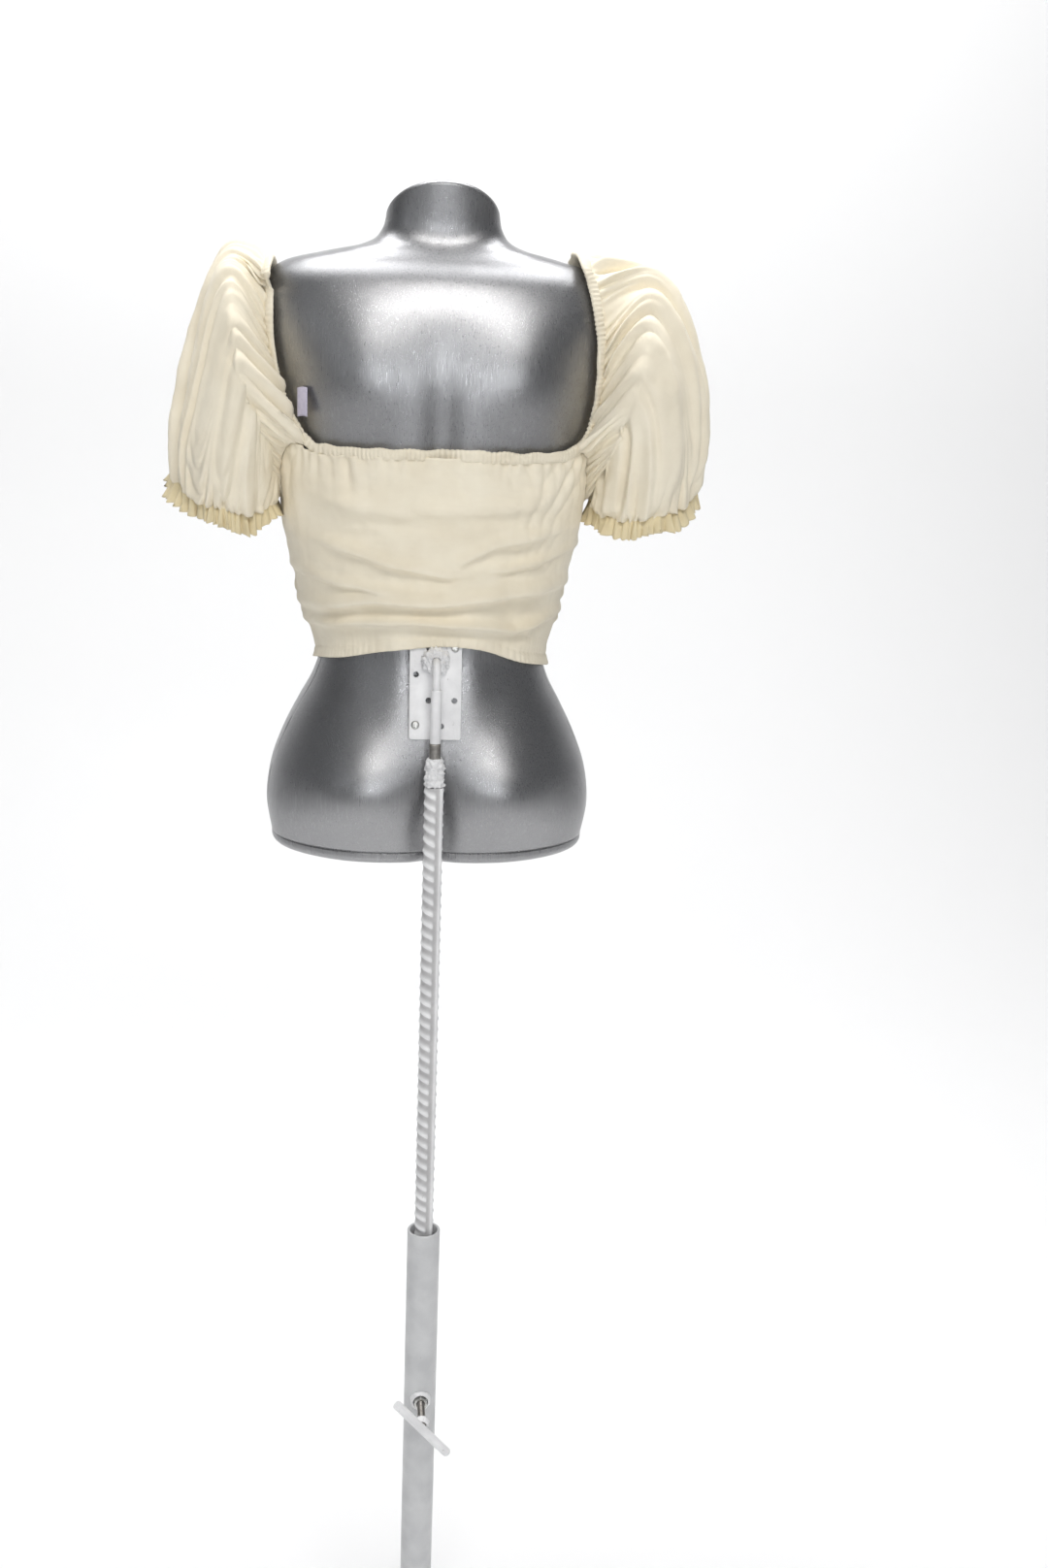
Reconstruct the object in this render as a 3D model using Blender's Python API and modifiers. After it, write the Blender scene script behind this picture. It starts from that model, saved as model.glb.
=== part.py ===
"""A dress form on a height-adjustable stand, wearing a gathered crop top.

Metres, +Z up.  The wearer's back faces +Y, and the stand's axis is the Z axis with the floor at z = 0.
The torso hangs on a bent pin that turns in a socket, the socket sits on a ribbed bar, and the bar
slides in a steel tube and is held there by a clamp screw with a T handle.
"""
import math

import bmesh
import bpy
from mathutils import Matrix, Vector

GAP = 0.0003                    # clearance between pieces that touch

# Torso: overall sizes, then the shell
TORSO_BOTTOM = 0.985            # height of the lower rim above the floor
TORSO_HEIGHT = 0.633
HIP_WIDTH = 0.330
TORSO_DEPTH = 0.229             # from the stand's axis to the belly
SHELL = 0.003
WALL_DEPTH = 1.25               # how deep the shell reaches in at a slant, in wall thicknesses
SEAM_DEPTH = 0.42               # place of the side seam, as a share of the depth
PANEL_THICKNESS = 0.0107
PANEL_ROUNDING = 0.007
CAP_THICKNESS = 0.005
TORSO_SEGMENTS = 32
RINGS_PER_STATION = 1

# Back plate and its screws
PLATE_WIDTH = 0.050
PLATE_HEIGHT = 0.120
PLATE_THICKNESS = 0.0025
PLATE_SEAT = 0.0008             # between it and the most proud place of the torso behind it
PLATE_FOOT = 0.199 * TORSO_HEIGHT           # height of its lower edge above the torso's rim
HOLE_RADIUS = 0.00275
HOLE_PITCH = 0.0248
HOLE_MARGIN = 0.013             # from the lower edge to the first row of holes
HOLE_SHIFT = 0.0188             # from the centre line to the first hole of an odd row
SCREW_HOLES = ((0, 0), (3, 1), (4, 0))      # row and column of the holes that take a screw
SCREW_RADIUS = 0.0021
SCREW_LENGTH = 0.020
SCREW_HEAD_RADIUS = 0.0041
SCREW_HEAD_HEIGHT = 0.0024
BLOCK_WIDTH = 0.076
BLOCK_HEIGHT = 0.140
BLOCK_THICKNESS = 0.018

# Swivel pin and socket
PIN_RADIUS = 0.0037
PIN_HEIGHT = 0.076              # of the pin's root above the plate's lower edge
PIN_BEND = 0.009
PIN_DROP = 0.024                # from the pin's root to the mouth of the socket
PIN_WELD_RADIUS = 0.012
PIN_WELD_HEIGHT = 0.009
SOCKET_RADIUS = 0.0052
SOCKET_BORE = 0.0040
SOCKET_LENGTH = 0.052
SPIGOT_RADIUS = 0.0056
SPIGOT_BARE = 0.0138            # bare length between the socket and the weld
BAR_WELD_RADIUS = 0.0092
BAR_WELD_HEIGHT = 0.0285

# Ribbed bar and tube
BAR_RADIUS = 0.0090
BAR_LENGTH = 0.800
RIB_HEIGHT = 0.0012
RIB_WIDTH = 0.0030
RIB_ANGLE = math.radians(48.5)  # of one long rib, from +Y towards -X
TUBE_RADIUS = 0.01675
TUBE_WALL = 0.0028
TUBE_TOP = 0.597

# Clamp
CLAMP_DROP = 0.191              # from the tube's top down to the screw
CLAMP_RADIUS = 0.0040
NUT_ACROSS = 0.013
NUT_HEIGHT = 0.0065
NUT_WELD = 0.0032
HANDLE_REACH = 0.0640           # from the stand's axis to the T handle's axis
HANDLE_RADIUS = 0.0046
HANDLE_LENGTH = 0.081
HANDLE_TILT = math.radians(48)
HANDLE_WELD_RADIUS = 0.0078
HANDLE_WELD_HEIGHT = 0.0085

# Cross-shaped base
BEAM_WIDTH = 0.050
BEAM_HEIGHT = 0.025
BEAM_WALL = 0.002
BASE_SPAN = 0.350
TUBE_WELD = 0.005
PLUG_FLANGE = 0.003
PLUG_DEPTH = 0.018
PLUG_SLACK = 0.0005

# Crop top
CLOTH = 0.0018
CLOTH_EASE = 0.0055             # from the torso to the cloth at its edges
CLOTH_FULLNESS = 0.0045         # how much looser it is between them
PLATE_LIFT = 0.0110             # how much further off it is where it passes over the plate
HEM_BACK = 0.342                # these four are heights above the torso's rim, as shares of TORSO_HEIGHT
HEM_SIDE = 0.2955
NECKLINE_HEIGHT = 0.613
UNDERARM_HEIGHT = 0.5545
CASING_RADIUS = 0.0022
CASING_LIFT = 0.0038            # between the casing and the torso
SLEEVE_SEGMENTS = 20
TAG_SIZE = (0.012, 0.0008, 0.026)
TAG_REACH = 0.7800              # of its outer edge from the centre line, as a share of half HIP_WIDTH
TAG_HEIGHT = 0.6951             # above the torso's rim, as a share of TORSO_HEIGHT
TAG_EASE = 0.0070

# Torso sections from the rim to the neck.  Heights are shares of TORSO_HEIGHT at the side, the back and
# the front; then half the width as a share of half HIP_WIDTH; then the back's and the front's distance
# from the stand's axis as shares of TORSO_DEPTH; then how square the section is.
STATIONS = (
    (0.0174, 0.0174, 0.0174, 0.969, 0.087, 0.969, 2.35),
    (0.0711, 0.0711, 0.0711, 1.000, 0.061, 0.991, 2.32),
    (0.1295, 0.1295, 0.1295, 0.972, 0.057, 1.000, 2.30),
    (0.1817, 0.1817, 0.1817, 0.900, 0.074, 0.996, 2.25),
    (0.2291, 0.2291, 0.2291, 0.810, 0.100, 0.965, 2.20),
    (0.2765, 0.2765, 0.2765, 0.715, 0.131, 0.913, 2.12),
    (0.3239, 0.3239, 0.3239, 0.673, 0.148, 0.869, 2.05),
    (0.3949, 0.3949, 0.3949, 0.703, 0.135, 0.865, 2.10),
    (0.4818, 0.4818, 0.4818, 0.782, 0.087, 0.908, 2.20),
    (0.5687, 0.5687, 0.5687, 0.849, 0.039, 0.969, 2.30),
    (0.6556, 0.6556, 0.6556, 0.897, 0.013, 0.969, 2.35),
    (0.7346, 0.7346, 0.7320, 0.970, 0.004, 0.904, 2.40),
    (0.8057, 0.8090, 0.7900, 1.031, 0.022, 0.821, 2.40),
    (0.8610, 0.8610, 0.8330, 1.006, 0.061, 0.734, 2.30),
    (0.8900, 0.8930, 0.8550, 0.897, 0.114, 0.664, 2.20),
    (0.9020, 0.9120, 0.8690, 0.700, 0.144, 0.616, 2.10),
    (0.9083, 0.9260, 0.8780, 0.523, 0.157, 0.590, 2.00),
    (0.9190, 0.9430, 0.8860, 0.402, 0.159, 0.572, 2.00),
    (0.9370, 0.9680, 0.8940, 0.342, 0.148, 0.557, 2.00),
    (0.9540, 1.0000, 0.9080, 0.321, 0.131, 0.541, 2.00),
)

# Soft swellings (+) and hollows (-): side (+1 back, -1 front), distance from the centre line and height
# as shares, spread across and up as shares, and how far the surface moves, in metres.
SWELLINGS = (
    (+1, 0.46, 0.110, 0.32, 0.085, +0.0200),       # buttocks
    (+1, 0.00, 0.060, 0.10, 0.080, -0.0100),       # cleft
    (+1, 0.00, 0.480, 0.11, 0.190, -0.0070),       # spine
    (+1, 0.22, 0.330, 0.13, 0.110, +0.0040),       # loins
    (+1, 0.48, 0.730, 0.26, 0.085, +0.0090),       # shoulder blades
    (-1, 0.47, 0.575, 0.35, 0.095, +0.0360),       # bust
    (-1, 0.00, 0.590, 0.14, 0.090, -0.0120),       # between the breasts
    (-1, 0.00, 0.300, 0.12, 0.120, -0.0040),       # middle of the belly
    (-1, 0.36, 0.855, 0.30, 0.014, +0.0030),       # collar bones
)

# The elastic edge across the back, over a shoulder and across the front, and the sleeve's sections from
# the root to the ruffle.  X is a share of half HIP_WIDTH, Y of TORSO_DEPTH, and Z of TORSO_HEIGHT above
# the torso's rim.
CASING_BACK = ((0.001, 0.6256), (0.303, 0.6256), (0.576, 0.6272), (0.709, 0.6382), (0.770, 0.6714),
               (0.812, 0.7267), (0.842, 0.7899), (0.839, 0.8452))
SHOULDER_TOP = ((0.8485, -0.183, 0.8831), (0.8333, -0.271, 0.9036), (0.8303, -0.384, 0.9060),
                (0.8303, -0.489, 0.8878), (0.8364, -0.590, 0.8594))
CASING_FRONT = ((0.830, 0.8215), (0.794, 0.7583), (0.752, 0.6951), (0.709, 0.6509), (0.630, 0.6303),
                (0.364, 0.6256), (0.001, 0.6256))
# centre, half of its height as X and Z, half of its depth
SLEEVE_SECTIONS = (
    ((0.903, -0.437, 0.7315), (0.000, 0.1770), 0.3625),
    ((1.127, -0.437, 0.7440), (0.218, 0.1360), 0.3930),
    ((1.248, -0.437, 0.6710), (0.339, 0.0442), 0.3755),
    ((1.255, -0.437, 0.5800), (0.327, 0.0158), 0.2490),
    ((1.255, -0.437, 0.5500), (0.346, 0.0158), 0.2710),
)

SEAM_Y = -SEAM_DEPTH * TORSO_DEPTH


# ---------------------------------------------------------------- scene, materials and small tools

def clear_scene():
    for item in list(bpy.data.objects):
        bpy.data.objects.remove(item, do_unlink=True)


def collection(name):
    group = bpy.data.collections.new(name)
    bpy.context.scene.collection.children.link(group)
    return group


def material(name, colour, roughness, metallic=0.0):
    mat = bpy.data.materials.new(name)
    mat.use_nodes = True
    shader = mat.node_tree.nodes["Principled BSDF"]
    shader.inputs["Base Color"].default_value = (*colour, 1.0)
    shader.inputs["Roughness"].default_value = roughness
    shader.inputs["Metallic"].default_value = metallic
    return mat


clear_scene()
PARTS = collection("dress_form")
CUTTERS = collection("dress_form_cutters")

SILVER = material("silver_paint", (0.36, 0.36, 0.37), 0.35, 0.6)
WHITE = material("white_paint", (0.78, 0.78, 0.78), 0.45)
STEEL = material("bare_steel", (0.42, 0.41, 0.39), 0.35, 1.0)
ZINC = material("zinc_plate", (0.62, 0.62, 0.60), 0.30, 1.0)
CLOTH_CREAM = material("cream_cotton", (0.83, 0.77, 0.62), 0.85)
TAG_TAPE = material("tag_tape", (0.72, 0.69, 0.78), 0.70)
PLYWOOD = material("plywood", (0.62, 0.46, 0.28), 0.75)
PLASTIC = material("plug_plastic", (0.10, 0.10, 0.11), 0.55)


def place(name, data, mat, location=(0, 0, 0), rotation=(0, 0, 0), parent=None):
    """Link a mesh or curve as one named piece."""
    piece = bpy.data.objects.new(name, data)
    data.materials.append(mat)
    piece.location = location
    piece.rotation_euler = rotation
    piece.parent = parent
    PARTS.objects.link(piece)
    return piece


def smooth(data, degrees=35):
    data.shade_smooth()
    data.set_sharp_from_angle(angle=math.radians(degrees))


def to_mesh(name, bm):
    """Store a bmesh, with its faces pointing away from its middle."""
    data = bpy.data.meshes.new(name)
    bmesh.ops.recalc_face_normals(bm, faces=bm.faces)
    middle = sum((v.co for v in bm.verts), Vector()) / len(bm.verts)
    if sum(f.normal.dot(f.calc_center_median() - middle) * f.calc_area() for f in bm.faces) < 0:
        bmesh.ops.reverse_faces(bm, faces=bm.faces)
    bm.to_mesh(data)
    bm.free()
    return data


def box_mesh(name, size, centre=(0, 0, 0)):
    bm = bmesh.new()
    bmesh.ops.create_cube(bm, size=1.0)
    bmesh.ops.scale(bm, vec=size, verts=bm.verts)
    bmesh.ops.translate(bm, vec=centre, verts=bm.verts)
    return to_mesh(name, bm)


def rod_mesh(name, radius, length, segments=16, centre=(0, 0, 0)):
    """A round rod along Z."""
    bm = bmesh.new()
    bmesh.ops.create_cone(bm, cap_ends=True, segments=segments, radius1=radius, radius2=radius, depth=length)
    bmesh.ops.translate(bm, vec=centre, verts=bm.verts)
    return to_mesh(name, bm)


def cutter(name, data, location=(0, 0, 0), rotation=(0, 0, 0), parent=None):
    tool = bpy.data.objects.new(name, data)
    tool.location = location
    tool.rotation_euler = rotation
    tool.parent = parent
    tool.hide_render = True
    tool.display_type = "WIRE"
    CUTTERS.objects.link(tool)
    return tool


def cut(piece, tool, operation="DIFFERENCE"):
    mod = piece.modifiers.new("cut", "BOOLEAN")
    mod.object = tool
    mod.operation = operation
    mod.solver = "EXACT"


def turned(name, profile, mat, location=(0, 0, 0), rotation=(0, 0, 0), parent=None, steps=20, closed=False):
    """A turned piece about its own Z axis.  The profile is (radius, height), top to bottom outside."""
    data = bpy.data.meshes.new(name)
    edges = [(i, i + 1) for i in range(len(profile) - 1)]
    if closed:
        edges.append((len(profile) - 1, 0))
    data.from_pydata([(r, 0.0, h) for r, h in profile], edges, [])
    piece = place(name, data, mat, location, rotation, parent)
    screw = piece.modifiers.new("turn", "SCREW")
    screw.steps = steps
    screw.render_steps = steps
    screw.use_merge_vertices = True
    screw.merge_threshold = 0.00001
    return piece


def catmull(keys, u):
    """A smooth row of values at u, where whole numbers of u are the keys."""
    last = len(keys) - 1
    i = min(int(u), last - 1)
    f = u - i
    rows = [keys[max(0, min(last, i + k))] for k in (-1, 0, 1, 2)]
    out = []
    for a, b, c, d in zip(*rows):
        out.append(b + 0.5 * f * (c - a + f * (2 * a - 5 * b + 4 * c - d + f * (3 * (b - c) + d - a))))
    return out


# ---------------------------------------------------------------- torso surface

def torso_point(u, turn):
    """A point of the torso's outside.  turn is 0 at the back's centre line, a quarter at +X."""
    side, back, front, width, back_y, front_y, square = catmull(STATIONS, u)
    across = math.sin(turn)
    along = math.cos(turn)
    x = math.copysign(abs(across) ** (2 / square), across) * width
    share = abs(along) ** (2 / square)
    facing = 1 if along >= 0 else -1
    level = side + ((back if facing > 0 else front) - side) * share
    middle = (back_y + front_y) / 2
    y = (facing * (middle - back_y) * share - middle) * TORSO_DEPTH
    for face, off, height, wide, tall, push in SWELLINGS:
        if face == facing:
            near = math.exp(-((abs(x) - off) / wide) ** 2 - ((level - height) / tall) ** 2)
            y += facing * push * near * min(1.0, share * 1.6)
    return Vector((x * HIP_WIDTH / 2, y, TORSO_BOTTOM + level * TORSO_HEIGHT))


def station_at(share):
    """The value of u whose section lies at this share of the torso's height."""
    low, high = 0.0, len(STATIONS) - 1.0
    for _ in range(30):
        mid = (low + high) / 2
        if catmull(STATIONS, mid)[0] < share:
            low = mid
        else:
            high = mid
    return low


def cloth_point(height, turn, ease):
    """A point this far off the torso, at a share of its height."""
    u = station_at(height)
    along = torso_point(u, turn + 0.02) - torso_point(u, turn - 0.02)
    up = torso_point(u + 0.02, turn) - torso_point(u - 0.02, turn)
    return torso_point(u, turn) + up.cross(along).normalized() * ease


def back_point(x, height, ease, facing=1):
    """A point off the torso's back (or front) at shares of half its width and of its height."""
    low, high = 0.0, math.pi / 2
    x *= HIP_WIDTH / 2
    u = station_at(height)
    for _ in range(30):
        mid = (low + high) / 2
        turn = mid if facing > 0 else math.pi - mid
        if torso_point(u, turn).x < abs(x):
            low = mid
        else:
            high = mid
    turn = low if facing > 0 else math.pi - low
    return cloth_point(height, math.copysign(turn, x), ease)


def loft(name, rings, closed_ends):
    """A skin over rings of points; closed_ends makes it solid."""
    bm = bmesh.new()
    rows = [[bm.verts.new(p) for p in ring] for ring in rings]
    count = len(rows[0])
    for lower, upper in zip(rows, rows[1:]):
        for i in range(count):
            j = (i + 1) % count
            bm.faces.new((lower[i], lower[j], upper[j], upper[i]))
    if closed_ends:
        bm.faces.new(rows[0])
        bm.faces.new(rows[-1])
    return to_mesh(name, bm)


def torso_rings():
    """Rings from the rim to the neck."""
    count = (len(STATIONS) - 1) * RINGS_PER_STATION
    turns = [2 * math.pi * i / TORSO_SEGMENTS for i in range(TORSO_SEGMENTS)]
    return [[torso_point(k / RINGS_PER_STATION, turn) for turn in turns] for k in range(count + 1)]


SKIN_RINGS = torso_rings()


def neck_frame():
    """The middle and the upward normal of the slanted neck."""
    last = len(STATIONS) - 1
    back = torso_point(last, 0.0)
    front = torso_point(last, math.pi)
    slope = (back - front).normalized()
    return (back + front) / 2, Vector((1, 0, 0)).cross(slope).normalized()


# ---------------------------------------------------------------- plate frame

def skin_y(x, z):
    """How far back the torso's faceted skin lies at this place, on one side of the centre line."""
    quarter = TORSO_SEGMENTS // 4
    levels = []
    for ring in SKIN_RINGS:
        for near, far in zip(ring[:quarter], ring[1:quarter + 1]):
            if near.x <= x <= far.x:
                share = (x - near.x) / (far.x - near.x)
                levels.append(near.lerp(far, share))
                break
    for lower, upper in zip(levels, levels[1:]):
        if lower.z <= z <= upper.z:
            return lower.lerp(upper, (z - lower.z) / (upper.z - lower.z)).y
    return levels[-1].y


def plate_frame():
    """An empty in the middle of the plate's outer face, with its Y axis along the outward normal."""
    low = TORSO_BOTTOM + PLATE_FOOT
    across = [PLATE_WIDTH / 2 * step / 10 for step in range(11)]
    ends = [max(skin_y(x, z) for x in across) for z in (low, low + PLATE_HEIGHT)]
    tilt = math.atan2(ends[0] - ends[1], PLATE_HEIGHT)
    proud = 0
    for step in range(61):
        share = step / 60
        chord = ends[0] + (ends[1] - ends[0]) * share
        for x in across:
            proud = max(proud, skin_y(x, low + share * PLATE_HEIGHT) - chord)
    ends = [y + proud + PLATE_SEAT for y in ends]
    middle = Vector((0, (ends[0] + ends[1]) / 2, low + PLATE_HEIGHT / 2))
    outward = Vector((0, math.cos(tilt), math.sin(tilt)))
    frame = bpy.data.objects.new("plate_frame", None)
    frame.location = middle + outward * PLATE_THICKNESS
    frame.rotation_euler = (tilt, 0, 0)
    PARTS.objects.link(frame)
    bpy.context.view_layer.update()
    return frame


def holes():
    """Row, column and place on the plate of each hole, rows counted from the lower edge."""
    spots = []
    rows = int((PLATE_HEIGHT - HOLE_MARGIN) / HOLE_PITCH) + 1
    for row in range(rows):
        up = HOLE_MARGIN + row * HOLE_PITCH - PLATE_HEIGHT / 2
        first = HOLE_SHIFT if row % 2 == 0 else HOLE_SHIFT - HOLE_PITCH / 2
        for column in range(3):
            x = first - column * HOLE_PITCH
            on_plate = abs(x) < PLATE_WIDTH / 2 - 2 * HOLE_RADIUS
            clear_of_pin = math.hypot(x, up - pin_root_up()) > PIN_WELD_RADIUS + 1.2 * HOLE_RADIUS
            if on_plate and (clear_of_pin or (row, column) in SCREW_HOLES):
                spots.append((row, column, x, up))
    return spots


def pin_root_up():
    return PIN_HEIGHT - PLATE_HEIGHT / 2


def along_y():
    """Rotation that lays a piece turned about Z along the frame's outward Y axis."""
    return (-math.pi / 2, 0, 0)


# ---------------------------------------------------------------- torso pieces

def make_torso(frame):
    middle, normal = neck_frame()
    rings = list(SKIN_RINGS)
    rings.append([point + normal * 3 * SHELL for point in rings[-1]])
    skin = loft("torso_skin", rings, closed_ends=False)
    smooth(skin, 60)
    neck_size = 10 * SHELL
    trim = cutter("neck_trim", box_mesh("neck_trim", (HIP_WIDTH, HIP_WIDTH, neck_size)),
                  middle + normal * neck_size / 2, (math.asin(-normal.y), 0, 0))
    halves = []
    reach = 2 * TORSO_DEPTH
    for name, facing in (("torso_back", 1), ("torso_front", -1)):
        half = place(name, skin.copy(), SILVER)
        wall = half.modifiers.new("wall", "SOLIDIFY")
        wall.thickness = SHELL
        wall.offset = -1
        wall.use_even_offset = True
        block = box_mesh(name + "_half", (3 * HIP_WIDTH, reach, 3 * TORSO_HEIGHT))
        keep = cutter(name + "_half", block, (0, SEAM_Y + facing * (reach + GAP) / 2, TORSO_BOTTOM))
        cut(half, keep, "INTERSECT")
        cut(half, trim)
        halves.append(half)
    pilot = screw_pilots(frame)
    cut(halves[0], pilot)
    make_bottom_panel()
    make_neck_cap()
    make_backing_block(frame, pilot)


def make_bottom_panel():
    """A board that closes the torso, with its lower edge rounded in."""
    outline = SKIN_RINGS[0]
    middle = Vector((0, SEAM_Y, 0))
    rings = []
    for step in range(4):
        angle = math.pi / 2 * step / 3
        inset = PANEL_ROUNDING * (1 - math.sin(angle))
        drop = PANEL_ROUNDING * (1 - math.cos(angle))
        level = TORSO_BOTTOM + drop
        ring = []
        for point in outline:
            flat = Vector((point.x, point.y, 0)) - middle
            ring.append(middle + flat * (1 - inset / flat.length) + Vector((0, 0, level)))
        rings.append(ring)
    top = outline[0].z - GAP
    rings.append([Vector((p.x, p.y, top)) for p in outline])
    data = loft("bottom_panel", rings, closed_ends=True)
    smooth(data)
    place("bottom_panel", data, SILVER)


def make_neck_cap():
    """A flat oval lid on the slanted neck."""
    middle, normal = neck_frame()
    rings = []
    edge = CAP_THICKNESS * 0.6
    for inset, lift in ((0, GAP), (0, CAP_THICKNESS - edge), (0.3 * edge, CAP_THICKNESS - 0.3 * edge),
                        (edge, CAP_THICKNESS)):
        ring = []
        for point in SKIN_RINGS[-1]:
            flat = point - normal * (point - middle).dot(normal)
            out = flat - middle
            ring.append(middle + out * (1 - inset / out.length) + normal * lift)
        rings.append(ring)
    data = loft("neck_cap", rings, closed_ends=True)
    smooth(data)
    place("neck_cap", data, SILVER)


def screw_pilots(frame):
    """Rods that make the holes for the plate's screws."""
    bm = bmesh.new()
    for row, column, x, up in holes():
        if (row, column) in SCREW_HOLES:
            turn = Matrix.Rotation(math.pi / 2, 4, "X")
            spot = Matrix.Translation((x, -SCREW_LENGTH / 2, up))
            bmesh.ops.create_cone(bm, cap_ends=True, segments=12, radius1=SCREW_RADIUS + GAP,
                                  radius2=SCREW_RADIUS + GAP, depth=2 * SCREW_LENGTH, matrix=spot @ turn)
    return cutter("screw_pilots", to_mesh("screw_pilots", bm), parent=frame)


def make_backing_block(frame, pilot):
    """A plywood block against the inside of the back, which takes the screws."""
    to_plate = frame.matrix_world.inverted()
    middle = frame.location.z
    deepest = 0
    for x in (0, BLOCK_WIDTH / 4, BLOCK_WIDTH / 2):
        for step in range(9):
            z = middle + (step / 8 - 0.5) * BLOCK_HEIGHT
            deepest = min(deepest, (to_plate @ Vector((x, skin_y(x, z), z))).y)
    face = deepest - WALL_DEPTH * SHELL - GAP
    size = (BLOCK_WIDTH, BLOCK_THICKNESS, BLOCK_HEIGHT)
    block = place("backing_block", box_mesh("backing_block", size, (0, face - BLOCK_THICKNESS / 2, 0)), PLYWOOD,
                  parent=frame)
    cut(block, pilot)


# ---------------------------------------------------------------- plate, screws, pin

def make_plate(frame):
    data = box_mesh("mount_plate", (PLATE_WIDTH, PLATE_THICKNESS, PLATE_HEIGHT), (0, -PLATE_THICKNESS / 2, 0))
    plate = place("mount_plate", data, WHITE, parent=frame)
    bm = bmesh.new()
    turn = Matrix.Rotation(math.pi / 2, 4, "X")
    for _, _, x, up in holes():
        bmesh.ops.create_cone(bm, cap_ends=True, segments=16, radius1=HOLE_RADIUS, radius2=HOLE_RADIUS,
                              depth=4 * PLATE_THICKNESS, matrix=Matrix.Translation((x, 0, up)) @ turn)
    cut(plate, cutter("plate_holes", to_mesh("plate_holes", bm), parent=frame))


def make_screws(frame):
    crown = 0.55 * SCREW_HEAD_RADIUS
    profile = ((0, SCREW_HEAD_HEIGHT), (crown, SCREW_HEAD_HEIGHT * 0.9), (SCREW_HEAD_RADIUS, 0.0008),
               (SCREW_HEAD_RADIUS, 0), (SCREW_RADIUS, 0), (SCREW_RADIUS, 4 * SCREW_RADIUS - SCREW_LENGTH),
               (0, -SCREW_LENGTH))
    number = 0
    for row, column, x, up in holes():
        if (row, column) in SCREW_HOLES:
            number += 1
            turned(f"plate_screw_{number}", profile, ZINC, (x, GAP, up), along_y(), frame, steps=12)


def make_pin(frame):
    """The bent pin, from the plate out to the stand's axis and down into the socket."""
    root = frame.matrix_world @ Vector((0, GAP, pin_root_up()))
    outward = frame.matrix_world.to_3x3() @ Vector((0, 1, 0))
    corner = root + outward * (-root.y / outward.y)
    bend = math.acos(outward.dot(Vector((0, 0, -1))))
    setback = PIN_BEND * math.tan(bend / 2)
    start = corner - outward * setback
    centre = start + Vector((0, outward.z, -outward.y)) * PIN_BEND
    points = [root, start]
    for step in range(1, 7):
        angle = bend * step / 6
        points.append(centre + Matrix.Rotation(-angle, 3, "X") @ (start - centre))
    points.append(Vector((0, 0, socket_mouth() - SOCKET_LENGTH + GAP)))
    rod_along("pivot_pin", points, PIN_RADIUS, WHITE)
    profile = ((PIN_RADIUS + GAP, PIN_WELD_HEIGHT), (0.62 * PIN_WELD_RADIUS, PIN_WELD_HEIGHT),
               (0.92 * PIN_WELD_RADIUS, 0.5 * PIN_WELD_HEIGHT), (PIN_WELD_RADIUS, 0), (PIN_RADIUS + GAP, 0))
    turned("pin_weld", profile, WHITE, (0, GAP, pin_root_up()), along_y(), frame, closed=True)


def rod_along(name, points, radius, mat, cyclic=False, resolution=2):
    data = bpy.data.curves.new(name, "CURVE")
    data.dimensions = "3D"
    data.bevel_depth = radius
    data.bevel_resolution = resolution
    data.use_fill_caps = True
    spline = data.splines.new("POLY")
    spline.points.add(len(points) - 1)
    for knot, point in zip(spline.points, points):
        knot.co = (*point, 1.0)
    spline.use_cyclic_u = cyclic
    return place(name, data, mat)


def socket_mouth():
    return TORSO_BOTTOM + PLATE_FOOT + PIN_HEIGHT - PIN_DROP


# ---------------------------------------------------------------- column

def make_column():
    mouth = socket_mouth()
    floor = mouth - SOCKET_LENGTH
    weld_top = floor - SPIGOT_BARE
    bar_top = weld_top - BAR_WELD_HEIGHT
    wall = ((SOCKET_BORE, SOCKET_LENGTH), (SOCKET_RADIUS, SOCKET_LENGTH), (SOCKET_RADIUS, GAP), (SOCKET_BORE, GAP))
    turned("socket_tube", wall, WHITE, (0, 0, floor), closed=True)
    spigot_height = floor - bar_top
    turned("socket_spigot", ((0, spigot_height), (SPIGOT_RADIUS, spigot_height), (SPIGOT_RADIUS, GAP), (0, GAP)),
           STEEL, (0, 0, bar_top))
    bore = SPIGOT_RADIUS + GAP
    lump = ((bore, BAR_WELD_HEIGHT), (0.72 * BAR_WELD_RADIUS, 0.98 * BAR_WELD_HEIGHT),
            (0.98 * BAR_WELD_RADIUS, 0.5 * BAR_WELD_HEIGHT), (BAR_WELD_RADIUS, GAP), (bore, GAP))
    turned("bar_weld", lump, WHITE, (0, 0, bar_top), closed=True)
    make_bar(bar_top)


def make_bar(top):
    """The reinforcing bar: a round core with two ribs along it."""
    data = bpy.data.curves.new("ribbed_bar", "CURVE")
    data.dimensions = "2D"
    data.fill_mode = "BOTH"
    data.extrude = BAR_LENGTH / 2
    half = math.asin(RIB_WIDTH / 2 / BAR_RADIUS)
    points = []
    for side in (0, math.pi):
        rib = math.pi / 2 + RIB_ANGLE + side
        for angle, reach in ((rib - half, 0), (rib - 0.7 * half, RIB_HEIGHT), (rib + 0.7 * half, RIB_HEIGHT),
                             (rib + half, 0)):
            points.append((angle, BAR_RADIUS + reach))
        for step in range(1, 9):
            points.append((rib + half + (math.pi - 2 * half) * step / 9, BAR_RADIUS))
    spline = data.splines.new("POLY")
    spline.points.add(len(points) - 1)
    for knot, (angle, radius) in zip(spline.points, points):
        knot.co = (radius * math.cos(angle), radius * math.sin(angle), 0, 1)
    spline.use_cyclic_u = True
    place("ribbed_bar", data, WHITE, (0, 0, top - BAR_LENGTH / 2))


# ---------------------------------------------------------------- base, tube and clamp

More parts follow.
